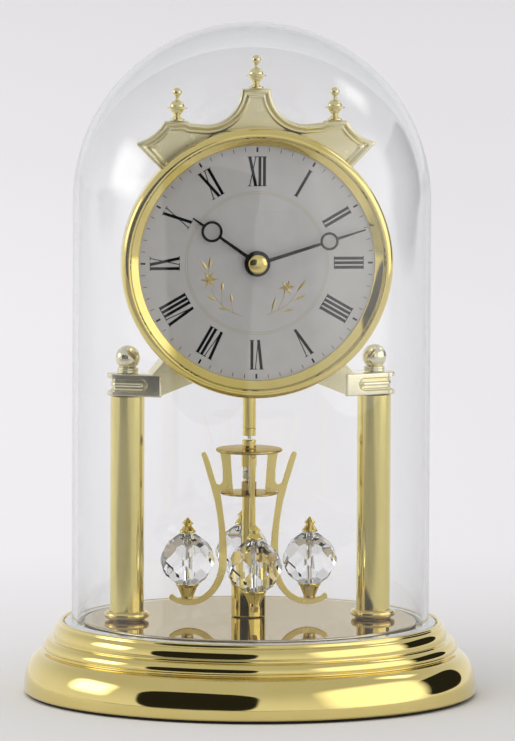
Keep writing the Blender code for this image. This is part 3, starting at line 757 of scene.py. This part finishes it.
def make_pediment():
    """The crown plate with its moulded border, and the three turned finials on it."""
    outline = pediment_outline()
    low, high = limits("pediment")
    front, back = -low.y, -high.y
    steps = [(0.4, back), (0.0, back + 0.4), (0.0, front - 0.75), (0.2, front - 0.3), (0.6, front - 0.05)]
    steps += [(1.5, front), (1.9, front - 0.15), (2.1, front - 0.6), (2.4, front - 0.75), (2.7, front - 0.6)]
    steps += [(2.9, front - 0.25), (3.3, front - 0.1), (3.7, front - 0.25), (3.95, front - 0.7)]
    steps += [(4.15, front - 0.8), (4.4, front - 0.8)]
    rings = [inset(outline, distance, depth) for distance, depth in steps]
    fine("pediment", loft(rings, "pediment", 50), SATIN, "frame", "satin_brass", DIAL_AXIS)
    for label in ("left", "centre", "right"):
        low, high = limits("pediment_finial_" + label)
        spot, seat, tip = middle("pediment_finial_" + label), low.z, high.z
        profile = arc((0, tip - 2.0), (2.0, 2.0), 90, -62, 16) + [(0.85, tip - 4.3), (0.8, tip - 4.9)]
        profile += arc((0.6, tip - 8.4), (2.6, 2.9), 78, 8, 8) + [(3.3, seat + 6.05), (4.5, seat + 5.75)]
        profile += [(4.6, seat + 5.5), (4.5, seat + 5.25), (3.1, seat + 4.9), (2.8, seat + 4.1)]
        profile += [(1.5, seat + 2.6), (1.3, seat + 2.0), (1.6, seat + 1.5), (2.1, seat + 1.1)]
        profile += [(2.9, seat + 0.85), (3.3, seat + 0.6), (3.3, seat + 0.1), (3.1, seat), (0, seat)]
        mesh = lathe(eased(profile, 0.12), 56)
        fine("pediment_finial_" + label, mesh, FINIAL, "frame", "polished_brass", shift(spot.x, spot.y))


# Dial


def stroke(start, end, width, slant=0.0):
    """A straight stroke from start to end, its ends cut level when slant is 1."""
    start, end = Vector(start), Vector(end)
    along = (end - start).normalized()
    across = Vector((-along.y, along.x)) * width / 2
    if slant:
        across = Vector((-width / 2 / abs(along.y), 0))
    return [tuple(start + across), tuple(start - across), tuple(end - across), tuple(end + across)]


def numeral_strokes(text, low, high):
    """A Roman numeral as strokes, upright and centred on x = 0, between two heights."""
    thick, thin, serif = 1.3, 0.4, 0.32
    widths = {"I": 2.0, "V": 4.0, "X": 4.3}
    total = sum(widths[letter] for letter in text)
    strokes = []
    x = -total / 2
    for letter in text:
        centre, half = x + widths[letter] / 2, widths[letter] / 2 - 0.75
        x += widths[letter]
        if letter == "I":
            strokes.append(stroke((centre, low), (centre, high), thick))
            ends = [(centre, low, 1.0), (centre, high, 1.0)]
        elif letter == "V":
            strokes.append(stroke((centre - half, high), (centre + 0.15, low), thick, 1))
            strokes.append(stroke((centre + half + 0.2, high), (centre + 0.25, low), thin, 1))
            ends = [(centre - half, high, 1.05), (centre + half + 0.2, high, 0.75)]
        else:
            strokes.append(stroke((centre - half, high), (centre + half, low), thick, 1))
            strokes.append(stroke((centre + half, high), (centre - half, low), thin, 1))
            ends = [(centre - half, high, 1.05), (centre + half, high, 0.8), (centre - half, low, 0.8)]
            ends.append((centre + half, low, 1.05))
        for place, height, reach in ends:
            inside = serif / 2 if height == low else -serif / 2
            strokes.append(stroke((place - reach, height + inside), (place + reach, height + inside), serif))
    return strokes


def turned_by(points, degrees):
    """Outline points turned clockwise about the dial's centre."""
    angle = -math.radians(degrees)
    cos, sin = math.cos(angle), math.sin(angle)
    return [(x * cos - y * sin, x * sin + y * cos) for x, y in points]


def film(outlines, thickness=0.05):
    """Printed shapes: each outline is its own thin film, so overlapping strokes stay solid."""
    return joined([plate([outline], thickness, name="film") for outline in outlines], "film")


def leaf(base, tip, width, lift=0.28):
    """A raised lens-shaped leaf with a ridge along its middle."""
    base, tip = Vector(base), Vector(tip)
    along = tip - base
    across = Vector((-along.y, along.x)).normalized()
    count = 10
    work = bmesh.new()
    rows = []
    for i in range(count + 1):
        t = i / count
        half = width / 2 * math.sin(math.pi * t ** 0.8) + 0.03
        spot = base.lerp(tip, t)
        height = lift * (0.25 + 0.75 * math.sin(math.pi * t))
        left, right = spot + across * half, spot - across * half
        row = ((left.x, left.y, 0), (spot.x, spot.y, height), (right.x, right.y, 0), (spot.x, spot.y, -0.01))
        rows.append([work.verts.new(corner) for corner in row])
    for first, second in zip(rows, rows[1:]):
        for i in range(4):
            work.faces.new((first[i - 1], first[i], second[i], second[i - 1]))
    work.faces.new(rows[0])
    work.faces.new(rows[-1])
    return mesh_from(work, "leaf")


def stem(points, radius=0.11):
    """A thin raised stem along a smooth path."""
    curve = bpy.data.curves.new("stem", "CURVE")
    curve.dimensions = "3D"
    curve.bevel_depth = radius
    curve.bevel_resolution = 1
    curve.use_fill_caps = True
    curve.resolution_u = 6
    spline = curve.splines.new("BEZIER")
    spline.bezier_points.add(len(points) - 1)
    for knot, (x, y) in zip(spline.bezier_points, points):
        knot.co = (x, y, 0)
        knot.handle_left_type = knot.handle_right_type = "AUTO"
    return welded("stem", curve)


def flower(centre, size, first):
    """Six long petals with six short ones between, and a small boss."""
    parts = []
    for i in range(12):
        angle = math.radians(first + 30 * i)
        reach = size if i % 2 == 0 else size * 0.55
        tip = (centre[0] + reach * math.cos(angle), centre[1] + reach * math.sin(angle))
        parts.append(leaf(centre, tip, 0.85 if i % 2 == 0 else 0.7, 0.32))
    boss = lathe(arc((0, 0), (0.5, 0.4), 90, 0, 5) + [(0, 0)], 16)
    boss.transform(shift(centre[0], centre[1]))
    return parts + [boss]


def make_dial():
    """Silvered plate with black numerals and tracks, a fine double ring and two gilt sprays."""
    low, high = limits("dial_plate")
    radius, thickness = high.x, high.y - low.y
    profile = [(4.4, 0), (radius, 0), (radius, -thickness), (4.4, -thickness)]
    place = DIAL_AXIS @ shift(0, 0, DIAL_FRONT)
    disc = lathe(eased(profile, 0.08, closed=True), 160)
    fine("dial_plate", disc, DIAL_METAL, "frame", "dial_metal", place)

    numerals = ("XII", "I", "II", "III", "IIII", "V", "VI", "VII", "VIII", "IX", "X", "XI")
    strokes = []
    for hour, text in enumerate(numerals):
        strokes += [turned_by(outline, 30 * hour) for outline in numeral_strokes(text, 33.9, 47.0)]
        strokes.append(turned_by(stroke((0, 48.9), (0, 51.0), 0.85), 30 * hour))
    for minute in range(60):
        if minute % 5:
            strokes.append(turned_by(stroke((0, 49.3), (0, 51.0), 0.26), 6 * minute))
    piece("numerals", film(strokes), INK, "frame", place)

    rings = [plate([circle(r + 0.14, 128), circle(r - 0.14, 128)], 0.05) for r in (30.6, 31.5)]
    piece("dial_ring", joined(rings, "rings"), PALE_GOLD, "frame", place)

    leaves = [((-21.0, -2.6), (-20.3, 3.0)), ((-21.7, -2.9), (-24.9, 1.6)), ((-15.3, -12.4), (-15.0, -8.2))]
    leaves += [((-11.0, -17.5), (-11.3, -13.3)), ((-18.1, -16.1), (-22.2, -14.1))]
    leaves += [((-12.2, -20.1), (-16.9, -19.8))]
    leaves += [((17.8, -12.8), (21.9, -7.2)), ((17.0, -16.3), (21.9, -14.1)), ((12.0, -21.3), (16.4, -20.4))]
    leaves += [((6.8, -20.8), (8.4, -14.9))]
    parts = [leaf(base, tip, 1.15) for base, tip in leaves]
    parts += flower((-20.9, -7.1), 3.9, 4) + flower((13.1, -10.7), 3.4, 6)
    stems = [[(-20.9, -7.5), (-18.6, -14.0), (-13.0, -20.4), (-6.0, -23.6)], [(-20.9, -5.0), (-21.1, -2.6)]]
    stems += [[(-21.2, -5.2), (-21.7, -2.9)], [(-15.3, -12.3), (-15.4, -18.2)]]
    stems += [[(-11.0, -17.4), (-10.4, -22.0)]]
    stems += [[(-18.1, -16.0), (-16.9, -16.4)], [(4.4, -23.0), (9.0, -20.9), (13.8, -18.1), (17.8, -12.9)]]
    stems += [[(9.2, -20.8), (11.0, -17.2), (12.6, -12.6)], [(6.5, -21.8), (6.9, -20.6)]]
    stems += [[(15.4, -16.7), (17.1, -16.3)], [(9.4, -20.9), (12.1, -21.3)]]
    parts += [stem(path) for path in stems]
    spray = joined(parts, "spray")
    piece("dial_sprays", spray, GILT, "frame", place)


def hand_mesh(hub, bore, shaft, ring_centre, ring, rim, tip):
    """A hand that points along +Y: hub, tapered shaft, open ring and pointed tip."""
    top = math.degrees(math.asin(0.6 / ring))
    right = [(0.2, tip), (0.32, tip - 0.3), (0.6, ring_centre + ring)]
    bottom = math.degrees(math.asin(shaft * 0.8 / ring))
    right += arc((0, ring_centre), (ring, ring), 90 - top - 1, -90 + bottom, 30)
    meet = 90 - math.degrees(math.asin(shaft / hub))
    right += arc((0, 0), (hub, hub), meet, -90, 32)
    left = [(-x, y) for x, y in right[::-1]][1:]
    outlines = [right + left, circle(bore, 32), circle(ring - rim, 48, (0, ring_centre))]
    return plate(outlines, 0.5, 0.09, "hand")


def make_hands():
    """Black lacquered hands at their time, and the domed nut."""
    hands = (("hour", 305.5, (5.7, 2.9, 0.78, 24.6, 4.7, 1.15, 35.0)),
             ("minute", 72.5, (4.9, 1.7, 0.80, 33.0, 4.0, 1.05, 49.7)))
    for label, angle, shape in hands:
        node = label + "_hand"
        place = DIAL_AXIS @ shift(0, 0, -middle(node).y) @ Matrix.Rotation(-math.radians(angle), 4, "Z")
        fine(node, hand_mesh(*shape), BLACK, label, "black_paint", place)
    low, high = limits("hand_nut")
    radius, front, back = high.x, -low.y, -high.y
    profile = arc((0, back + 0.35), (radius, front - back - 0.35), 90, 0, 14) + [(radius, back + 0.1)]
    profile += [(radius - 0.2, back), (0, back)]
    fine("hand_nut", lathe(profile, 64), GOLD, "minute", "polished_brass", DIAL_AXIS)


# Movement, seen from behind


def rounded_box(low, high, radius):
    """A box with rounded edges between two corners in millimetres."""
    work = bmesh.new()
    bmesh.ops.create_cube(work, size=1)
    low, high = Vector(low), Vector(high)
    bmesh.ops.scale(work, vec=high - low, verts=work.verts)
    bmesh.ops.translate(work, vec=(low + high) / 2, verts=work.verts)
    bmesh.ops.bevel(work, geom=work.edges[:], offset=radius, segments=3, profile=0.5, affect="EDGES")
    return mesh_from(work, "box")


def make_movement():
    """Cover, knob, battery and drive housing, and better finishes on what stays as it is."""
    low, high = limits("movement_cover")
    spot = middle("setting_knob")
    cover = rounded_box(low, high, 0.6)
    hole = lathe([(0, 9), (3.6, 9), (3.6, -9), (0, -9)], 48)
    hole.transform(shift(spot.x, -4, spot.z) @ Matrix.Rotation(math.pi / 2, 4, "X"))
    parts = [cut(cover, hole)]
    rear = high.y
    for offset in range(-3, 4):
        x = -14.0 + offset * 2.6
        parts.append(rounded_box((x - 0.5, rear - 0.3, low.z + 6), (x + 0.5, rear + 0.35, low.z + 22), 0.25))
    collar = lathe(eased([(3.7, 0.15), (4.9, 0.15), (4.9, -0.3), (3.7, -0.3)], 0.08, closed=True), 48)
    collar.transform(shift(spot.x, rear, spot.z) @ Matrix.Rotation(-math.pi / 2, 4, "X"))
    parts.append(collar)
    fine("movement_cover", joined(parts, "cover"), WHITE_PLASTIC, "frame", "white_plastic")

    low, high = limits("setting_knob")
    radius, ribs = (high.x - low.x) / 2, 36
    rings = []
    steps = ((0.80, 4.6), (0.95, 4.4), (1.0, 4.0), (1.0, -1.6), (0.97, -2.0), (0.55, -2.2), (0.5, -3.5))
    for share, depth in steps:
        ring = []
        for i in range(ribs * 4):
            ridge = 1.0 - (0.035 if i % 4 in (0, 1) and share > 0.9 else 0.0)
            angle = 2 * math.pi * i / (ribs * 4)
            reach = radius * share * ridge
            ring.append((reach * math.cos(angle), depth, reach * math.sin(angle)))
        rings.append(ring)
    knob = loft(rings, "knob", 28)
    fine("setting_knob", knob, WHITE_PLASTIC, "setting", "white_plastic", shift(spot.x, 0, spot.z))

    low, high = limits("battery")
    spot, radius, half = middle("battery"), (high.z - low.z) / 2, 24.2
    profile = [(0, high.x), (2.7, high.x), (2.75, half + 0.1), (radius - 0.7, half - 0.1)]
    profile += [(radius, half - 0.8), (radius, -half + 0.8), (radius - 0.7, -half + 0.1)]
    profile += [(3.4, -half), (0, -half)]
    battery = lathe(eased(profile, 0.25), 64)
    battery.transform(Matrix.Rotation(math.pi / 2, 4, "Y"))
    fine("battery", battery, BATTERY, "frame", "battery_skin", shift(0, spot.y, spot.z))

    low, high = limits("pendulum_drive")
    lower = rounded_box(low, (high.x, middle("pendulum_drive").y - 0.15, high.z), 1.1)
    upper = rounded_box((low.x, middle("pendulum_drive").y + 0.15, low.z), high, 1.1)
    core = rounded_box((low.x + 0.5, low.y + 2, low.z + 0.5), (high.x - 0.5, high.y - 2, high.z - 0.5), 0.5)
    fine("pendulum_drive", joined([lower, upper, core], "drive"), BLACK_PLASTIC, "frame", "black_plastic")

    finishes = {"movement_housing": BLACK_PLASTIC, "circuit_board": BOARD, "base_cover": BLACK_PLASTIC}
    finishes.update({"hour_wheel": COLUMN, "minute_wheel": COLUMN})
    steel = ("contact_plus", "contact_minus", "tie_bolt_left", "tie_bolt_right", "guide_tube_screw")
    for node in steel + ("minute_arbor", "suspension_spindle"):
        finishes[node] = NICKEL
    for node, material in finishes.items():
        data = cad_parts[node].data
        for i in range(len(data.materials)):
            data.materials[i] = material
        if not data.materials:
            data.materials.append(material)


# Pendulum


def make_pendulum_core():
    """Tube, collar, discs, sleeve, nut and rod on the pendulum's axis."""

    def fill(node, profile, material, body="pendulum", steps=64, slot="polished_brass", ease=0.15):
        closed = profile[0][0] > 0
        mesh = lathe(eased(profile, ease, closed=closed), steps)
        fine(node, mesh, material, body, slot, PENDULUM_AXIS)

    low, high = limits("suspension_tube")
    tube = [(1.7, high.z), (4.4, high.z), (4.4, high.z - 2.8), (2.95, high.z - 3.4), (2.95, low.z + 3.6)]
    tube += [(2.75, low.z + 3.3), (2.95, low.z + 3.0), (2.95, low.z), (1.7, low.z)]
    fill("suspension_tube", tube, GOLD, "frame")
    low, high = limits("pendulum_collar")
    collar = [(0, high.z), (2.6, high.z), (3.1, high.z - 0.5), (3.1, low.z), (0, low.z)]
    fill("pendulum_collar", collar, GOLD)
    for node, hub in (("upper_disc", 0.0), ("lower_disc", 3.3)):
        low, high = limits(node)
        radius = (high.x - low.x) / 2
        top = low.z + 1.4 if node == "upper_disc" else low.z + 0.8
        rim = (top - low.z) / 2
        profile = [(0, high.z)]
        if hub:
            profile += [(hub, high.z), (hub, top)]
        profile += [(radius - rim, top)] + arc((radius - rim, low.z + rim), (rim, rim), 80, -80, 8)
        fill(node, profile + [(0, low.z)], DISC, steps=96, ease=0.1)
    low, high = limits("hub_sleeve")
    fill("hub_sleeve", [(0, high.z), (3.4, high.z), (3.4, low.z), (0, low.z)], GOLD)
    low, high = limits("rating_nut")
    nut = [(0, high.z), (1.6, high.z), (1.6, high.z - 1.5), (2.9, high.z - 1.8), (2.9, low.z + 1.4)]
    fill("rating_nut", nut + [(1.6, low.z + 1.1), (1.6, low.z), (0, low.z)], NICKEL, slot="steel")
    low, high = limits("pendulum_rod")
    rod = [(0, high.z), (3.0, high.z), (3.0, high.z - 22.0), (2.8, high.z - 22.2), (3.0, high.z - 22.4)]
    fill("pendulum_rod", rod + [(3.0, low.z + 1.1), (2.2, low.z), (0, low.z)], GOLD)
    low, high = limits("guide_tube")
    bell = arc((11.0, high.z - 5.2), (3.35, 5.2), 118, 180, 12)
    tube = [(8.8, high.z)] + bell + [(7.65, low.z + 0.4), (7.5, low.z), (2.6, low.z), (2.6, low.z + 2.0)]
    tube += [(6.4, low.z + 2.0), (6.4, high.z - 6.2), (6.6, high.z - 4.2), (7.2, high.z - 2.0)]
    tube.append((8.3, high.z))
    fill("guide_tube", tube, GOLD, "frame")


def arm_outline():
    """One stamped arm as (distance from the axis, height): two prongs, a slender stem and a hook."""
    inner_prong = [(7.1, 89.4), (7.7, 97.0), (8.4, 106.9), (12.9, 106.9), (12.2, 103.0), (11.7, 99.0)]
    notch = arc((13.3, 94.4), (1.6, 1.9), 180, 345, 12)
    outer_prong = [(17.4, 102.4)] + arc((20.0, 105.9), (1.15, 1.15), 155, -15, 10)
    outer_edge = [(19.6, 100.6), (18.3, 96.1), (17.2, 92.6), (16.4, 89.5), (15.4, 85.9), (14.6, 82.0)]
    outer_edge += [(14.0, 78.2), (13.5, 74.0), (13.2, 70.0), (13.1, 66.0)]
    hook_top = arc((26.0, 59.0), (12.9, 17.5), 176, 262, 24) + [(27.6, 41.35), (30.0, 41.9), (32.2, 42.6)]
    hook_tip = arc((34.0, 42.6), (1.25, 1.3), 110, -80, 10)
    hook_under = arc((26.4, 59.0), (16.6, 20.1), 296, 178, 30)
    stem_edge = [(9.8, 63.0), (9.9, 66.0), (10.3, 71.0), (10.9, 76.0), (11.4, 80.0), (12.0, 84.0)]
    stem_edge += [(12.6, 88.0), (12.95, 89.4)]
    return inner_prong + notch + outer_prong + outer_edge + hook_top + hook_tip + hook_under + stem_edge


def crystal_mesh(height, radius):
    """A cut bead: rows of flat facets round a near-sphere, flat at both ends, with a bore."""
    work = bmesh.new()
    bmesh.ops.create_cube(work, size=4 * radius)
    rows = ((0.0, 53, 0.965), (22.5, 27, 0.955), (0.0, 0, 0.955), (22.5, -27, 0.955), (0.0, -53, 0.965))
    planes = [(Vector((0, 0, 1)), height / 2), (Vector((0, 0, -1)), height / 2)]
    for phase, elevation, share in rows:
        for i in range(8):
            azimuth, tilt = math.radians(phase + 360 * i / 8), math.radians(elevation)
            level = math.cos(tilt)
            normal = Vector((math.cos(azimuth) * level, math.sin(azimuth) * level, math.sin(tilt)))
            planes.append((normal, radius * share))
    for normal, distance in planes:
        everything = work.verts[:] + work.edges[:] + work.faces[:]
        result = bmesh.ops.bisect_plane(work, geom=everything, plane_co=normal * distance, plane_no=normal,
                                        clear_outer=True, dist=1e-5)
        rim = [item for item in result["geom_cut"] if isinstance(item, bmesh.types.BMEdge)]
        if rim:
            bmesh.ops.contextual_create(work, geom=rim)
    bead = mesh_from(work, "bead", 5)
    bore = lathe([(0, height), (1.15, height), (1.15, -height), (0, -height)], 20)
    bead = cut(bead, bore)
    bead.set_sharp_from_angle(angle=math.radians(9))
    return bead


def make_pendulum_arms():
    """The four quarters: stamped arm, cup, cut bead, stepped cap and the pin through the bead."""
    ball_low, ball_high = limits("crystal_right")
    orbit = 27.2
    radius = (ball_high.x - limits("crystal_left")[0].x) / 2 - orbit
    centre = (ball_low.z + ball_high.z) / 2
    cap_low = limits("cap_right")[0].z
    cap_top = limits("cap_right")[1].z
    cup_low, cup_high = limits("cup_right")[0].z, limits("cup_right")[1].z
    bead = crystal_mesh(23.4, radius + 0.25)
    arm = plate([arm_outline()], 2.0, 0.18, "arm")
    cup_profile = [(1.25, cup_high - 1.2), (4.3, cup_high - 0.25), (4.85, cup_high)]
    cup_profile += [(5.15, cup_high - 0.15), (5.2, cup_high - 0.6), (4.9, cup_high - 1.0)]
    cup_profile += [(4.4, cup_high - 1.5), (2.95, cup_low + 1.7), (2.7, cup_low + 0.9)]
    cup_profile += [(2.65, cup_low), (1.25, cup_low)]
    cup = lathe(eased(cup_profile, 0.15, closed=True), 48)
    brim = cap_top - 6.7
    cap_profile = [(0, cap_top), (0.35, cap_top - 0.15), (2.5, cap_top - 2.5), (2.55, cap_top - 2.85)]
    cap_profile += [(1.7, cap_top - 3.3), (1.75, cap_top - 3.6), (3.55, cap_top - 5.9), (3.65, brim + 0.35)]
    cap_profile += [(3.3, brim), (0, brim)]
    cap = lathe(eased(cap_profile, 0.12), 48)
    pin = lathe([(0, brim + 0.2), (0.8, brim + 0.2), (0.8, cap_low), (0, cap_low)], 24)
    for index, label in enumerate(QUARTERS):
        turn = PENDULUM_AXIS @ Matrix.Rotation(index * math.pi / 2, 4, "Z")
        upright = turn @ Matrix.Rotation(math.pi / 2, 4, "X")
        spot = turn @ shift(orbit)
        fine("arm_" + label, arm.copy(), STAMPED, "pendulum", "polished_brass", upright)
        fine("cup_" + label, cup.copy(), GOLD, "pendulum", "polished_brass", spot)
        bead_place = spot @ shift(0, 0, centre) @ Matrix.Rotation(math.radians(11), 4, "Z")
        fine("crystal_" + label, bead.copy(), CRYSTAL, "pendulum", "crystal", bead_place)
        fine("cap_" + label, cap.copy(), GOLD, "pendulum", "polished_brass", spot)
        piece("pin_" + label, pin.copy(), NICKEL, "pendulum", spot, ("cap_" + label,))


def make_dome():
    """The blown dome: straight wall and half sphere, with a small pale bead ground round its foot."""
    low, high = limits("glass_dome")
    foot = (high.x - low.x) / 2
    outer, wall = 79.0, 2.5
    inner, centre = outer - wall, high.z - outer
    profile = arc((0, centre), (outer, outer), 90, 0, 56)
    wall_end = low.z + 1.75
    profile += [(outer, centre - 4), (outer, wall_end), (inner, wall_end), (inner, centre - 4)]
    profile += arc((0, centre), (inner, inner), 0, 90, 56)
    fine("glass_dome", lathe(profile, 192, sharp=60), DOME_GLASS, "dome", "dome_glass")
    bead = [(inner, low.z + 1.7), (outer, low.z + 1.7)]
    bead += arc((foot - 0.85, low.z + 0.85), (0.85, 0.85), 80, -80, 8) + [(inner, low.z)]
    rim = lathe(eased(bead, 0.15, closed=True), 192)
    piece("dome_rim", rim, GROUND_GLASS, "dome", UPRIGHT, ("glass_dome",))


def make_studio():
    """A flat pale floor with painted shade, soft light from the sides and above, and dark cards in front and
    to the right, one of them lying on the floor as painted shade.
    """
    mesh = bpy.data.meshes.new("floor")
    work = bmesh.new()
    bmesh.ops.create_circle(work, cap_ends=True, segments=96, radius=12.0)
    work.to_mesh(mesh)
    work.free()
    floor = in_scene("floor", mesh)
    floor.data.materials.append(floor_with_painted_shade())
    world = bpy.data.worlds.new("studio")
    world.use_nodes = True
    tree = world.node_tree
    split = tree.nodes.new("ShaderNodeSeparateXYZ")
    ramp = tree.nodes.new("ShaderNodeValToRGB")
    ramp.color_ramp.elements[0].color = (0.93, 0.925, 0.945, 1)
    ramp.color_ramp.elements[1].color = (0.62, 0.62, 0.63, 1)
    ramp.color_ramp.elements[1].position = 0.7
    ramp.color_ramp.interpolation = "EASE"
    tree.links.new(tree.nodes.new("ShaderNodeTexCoord").outputs["Generated"], split.inputs[0])
    tree.links.new(split.outputs["Z"], ramp.inputs[0])
    tree.links.new(ramp.outputs[0], tree.nodes["Background"].inputs["Color"])
    tree.nodes["Background"].inputs["Strength"].default_value = 0.95
    bpy.context.scene.world = world
    soft_sun("window", -45, 60, 1.55, 60)
    panel("left_softbox", face_clock(-97, 16, 1.5), (0.9, 0.75), 3.2, 0.5)
    panel("right_softbox", face_clock(64, 13, 1.12), (1.6, 1.06), 1.6, 0.3)
    panel("back_softbox", face_clock(113, 43, 1.5), (0.5, 0.5), 2.6, 0.7)
    panel("dark_left", face_clock(-33, 10, 1.12), (1.4, 0.79), 0.02, 0.06)
    panel("dark_right", face_clock(113, 9, 1.45), (1.1, 0.7), 0.02, 0.06)
    # A dark sheet on the floor in front that only reflections see: painted shade where the flag's shadow
    # falls on the floor.
    panel("painted_floor_shade", on_floor(-33, 0.72), (1.3, 1.0), 0.12, 0.3, 0.6)
    bpy.context.scene.view_settings.view_transform = "Standard"


set_camera()
make_studio()
make_base()
make_platform()
make_columns()
make_bridge()
make_bezel()
make_pediment()
make_dial()
make_hands()
make_movement()
make_pendulum_core()
make_pendulum_arms()
make_dome()
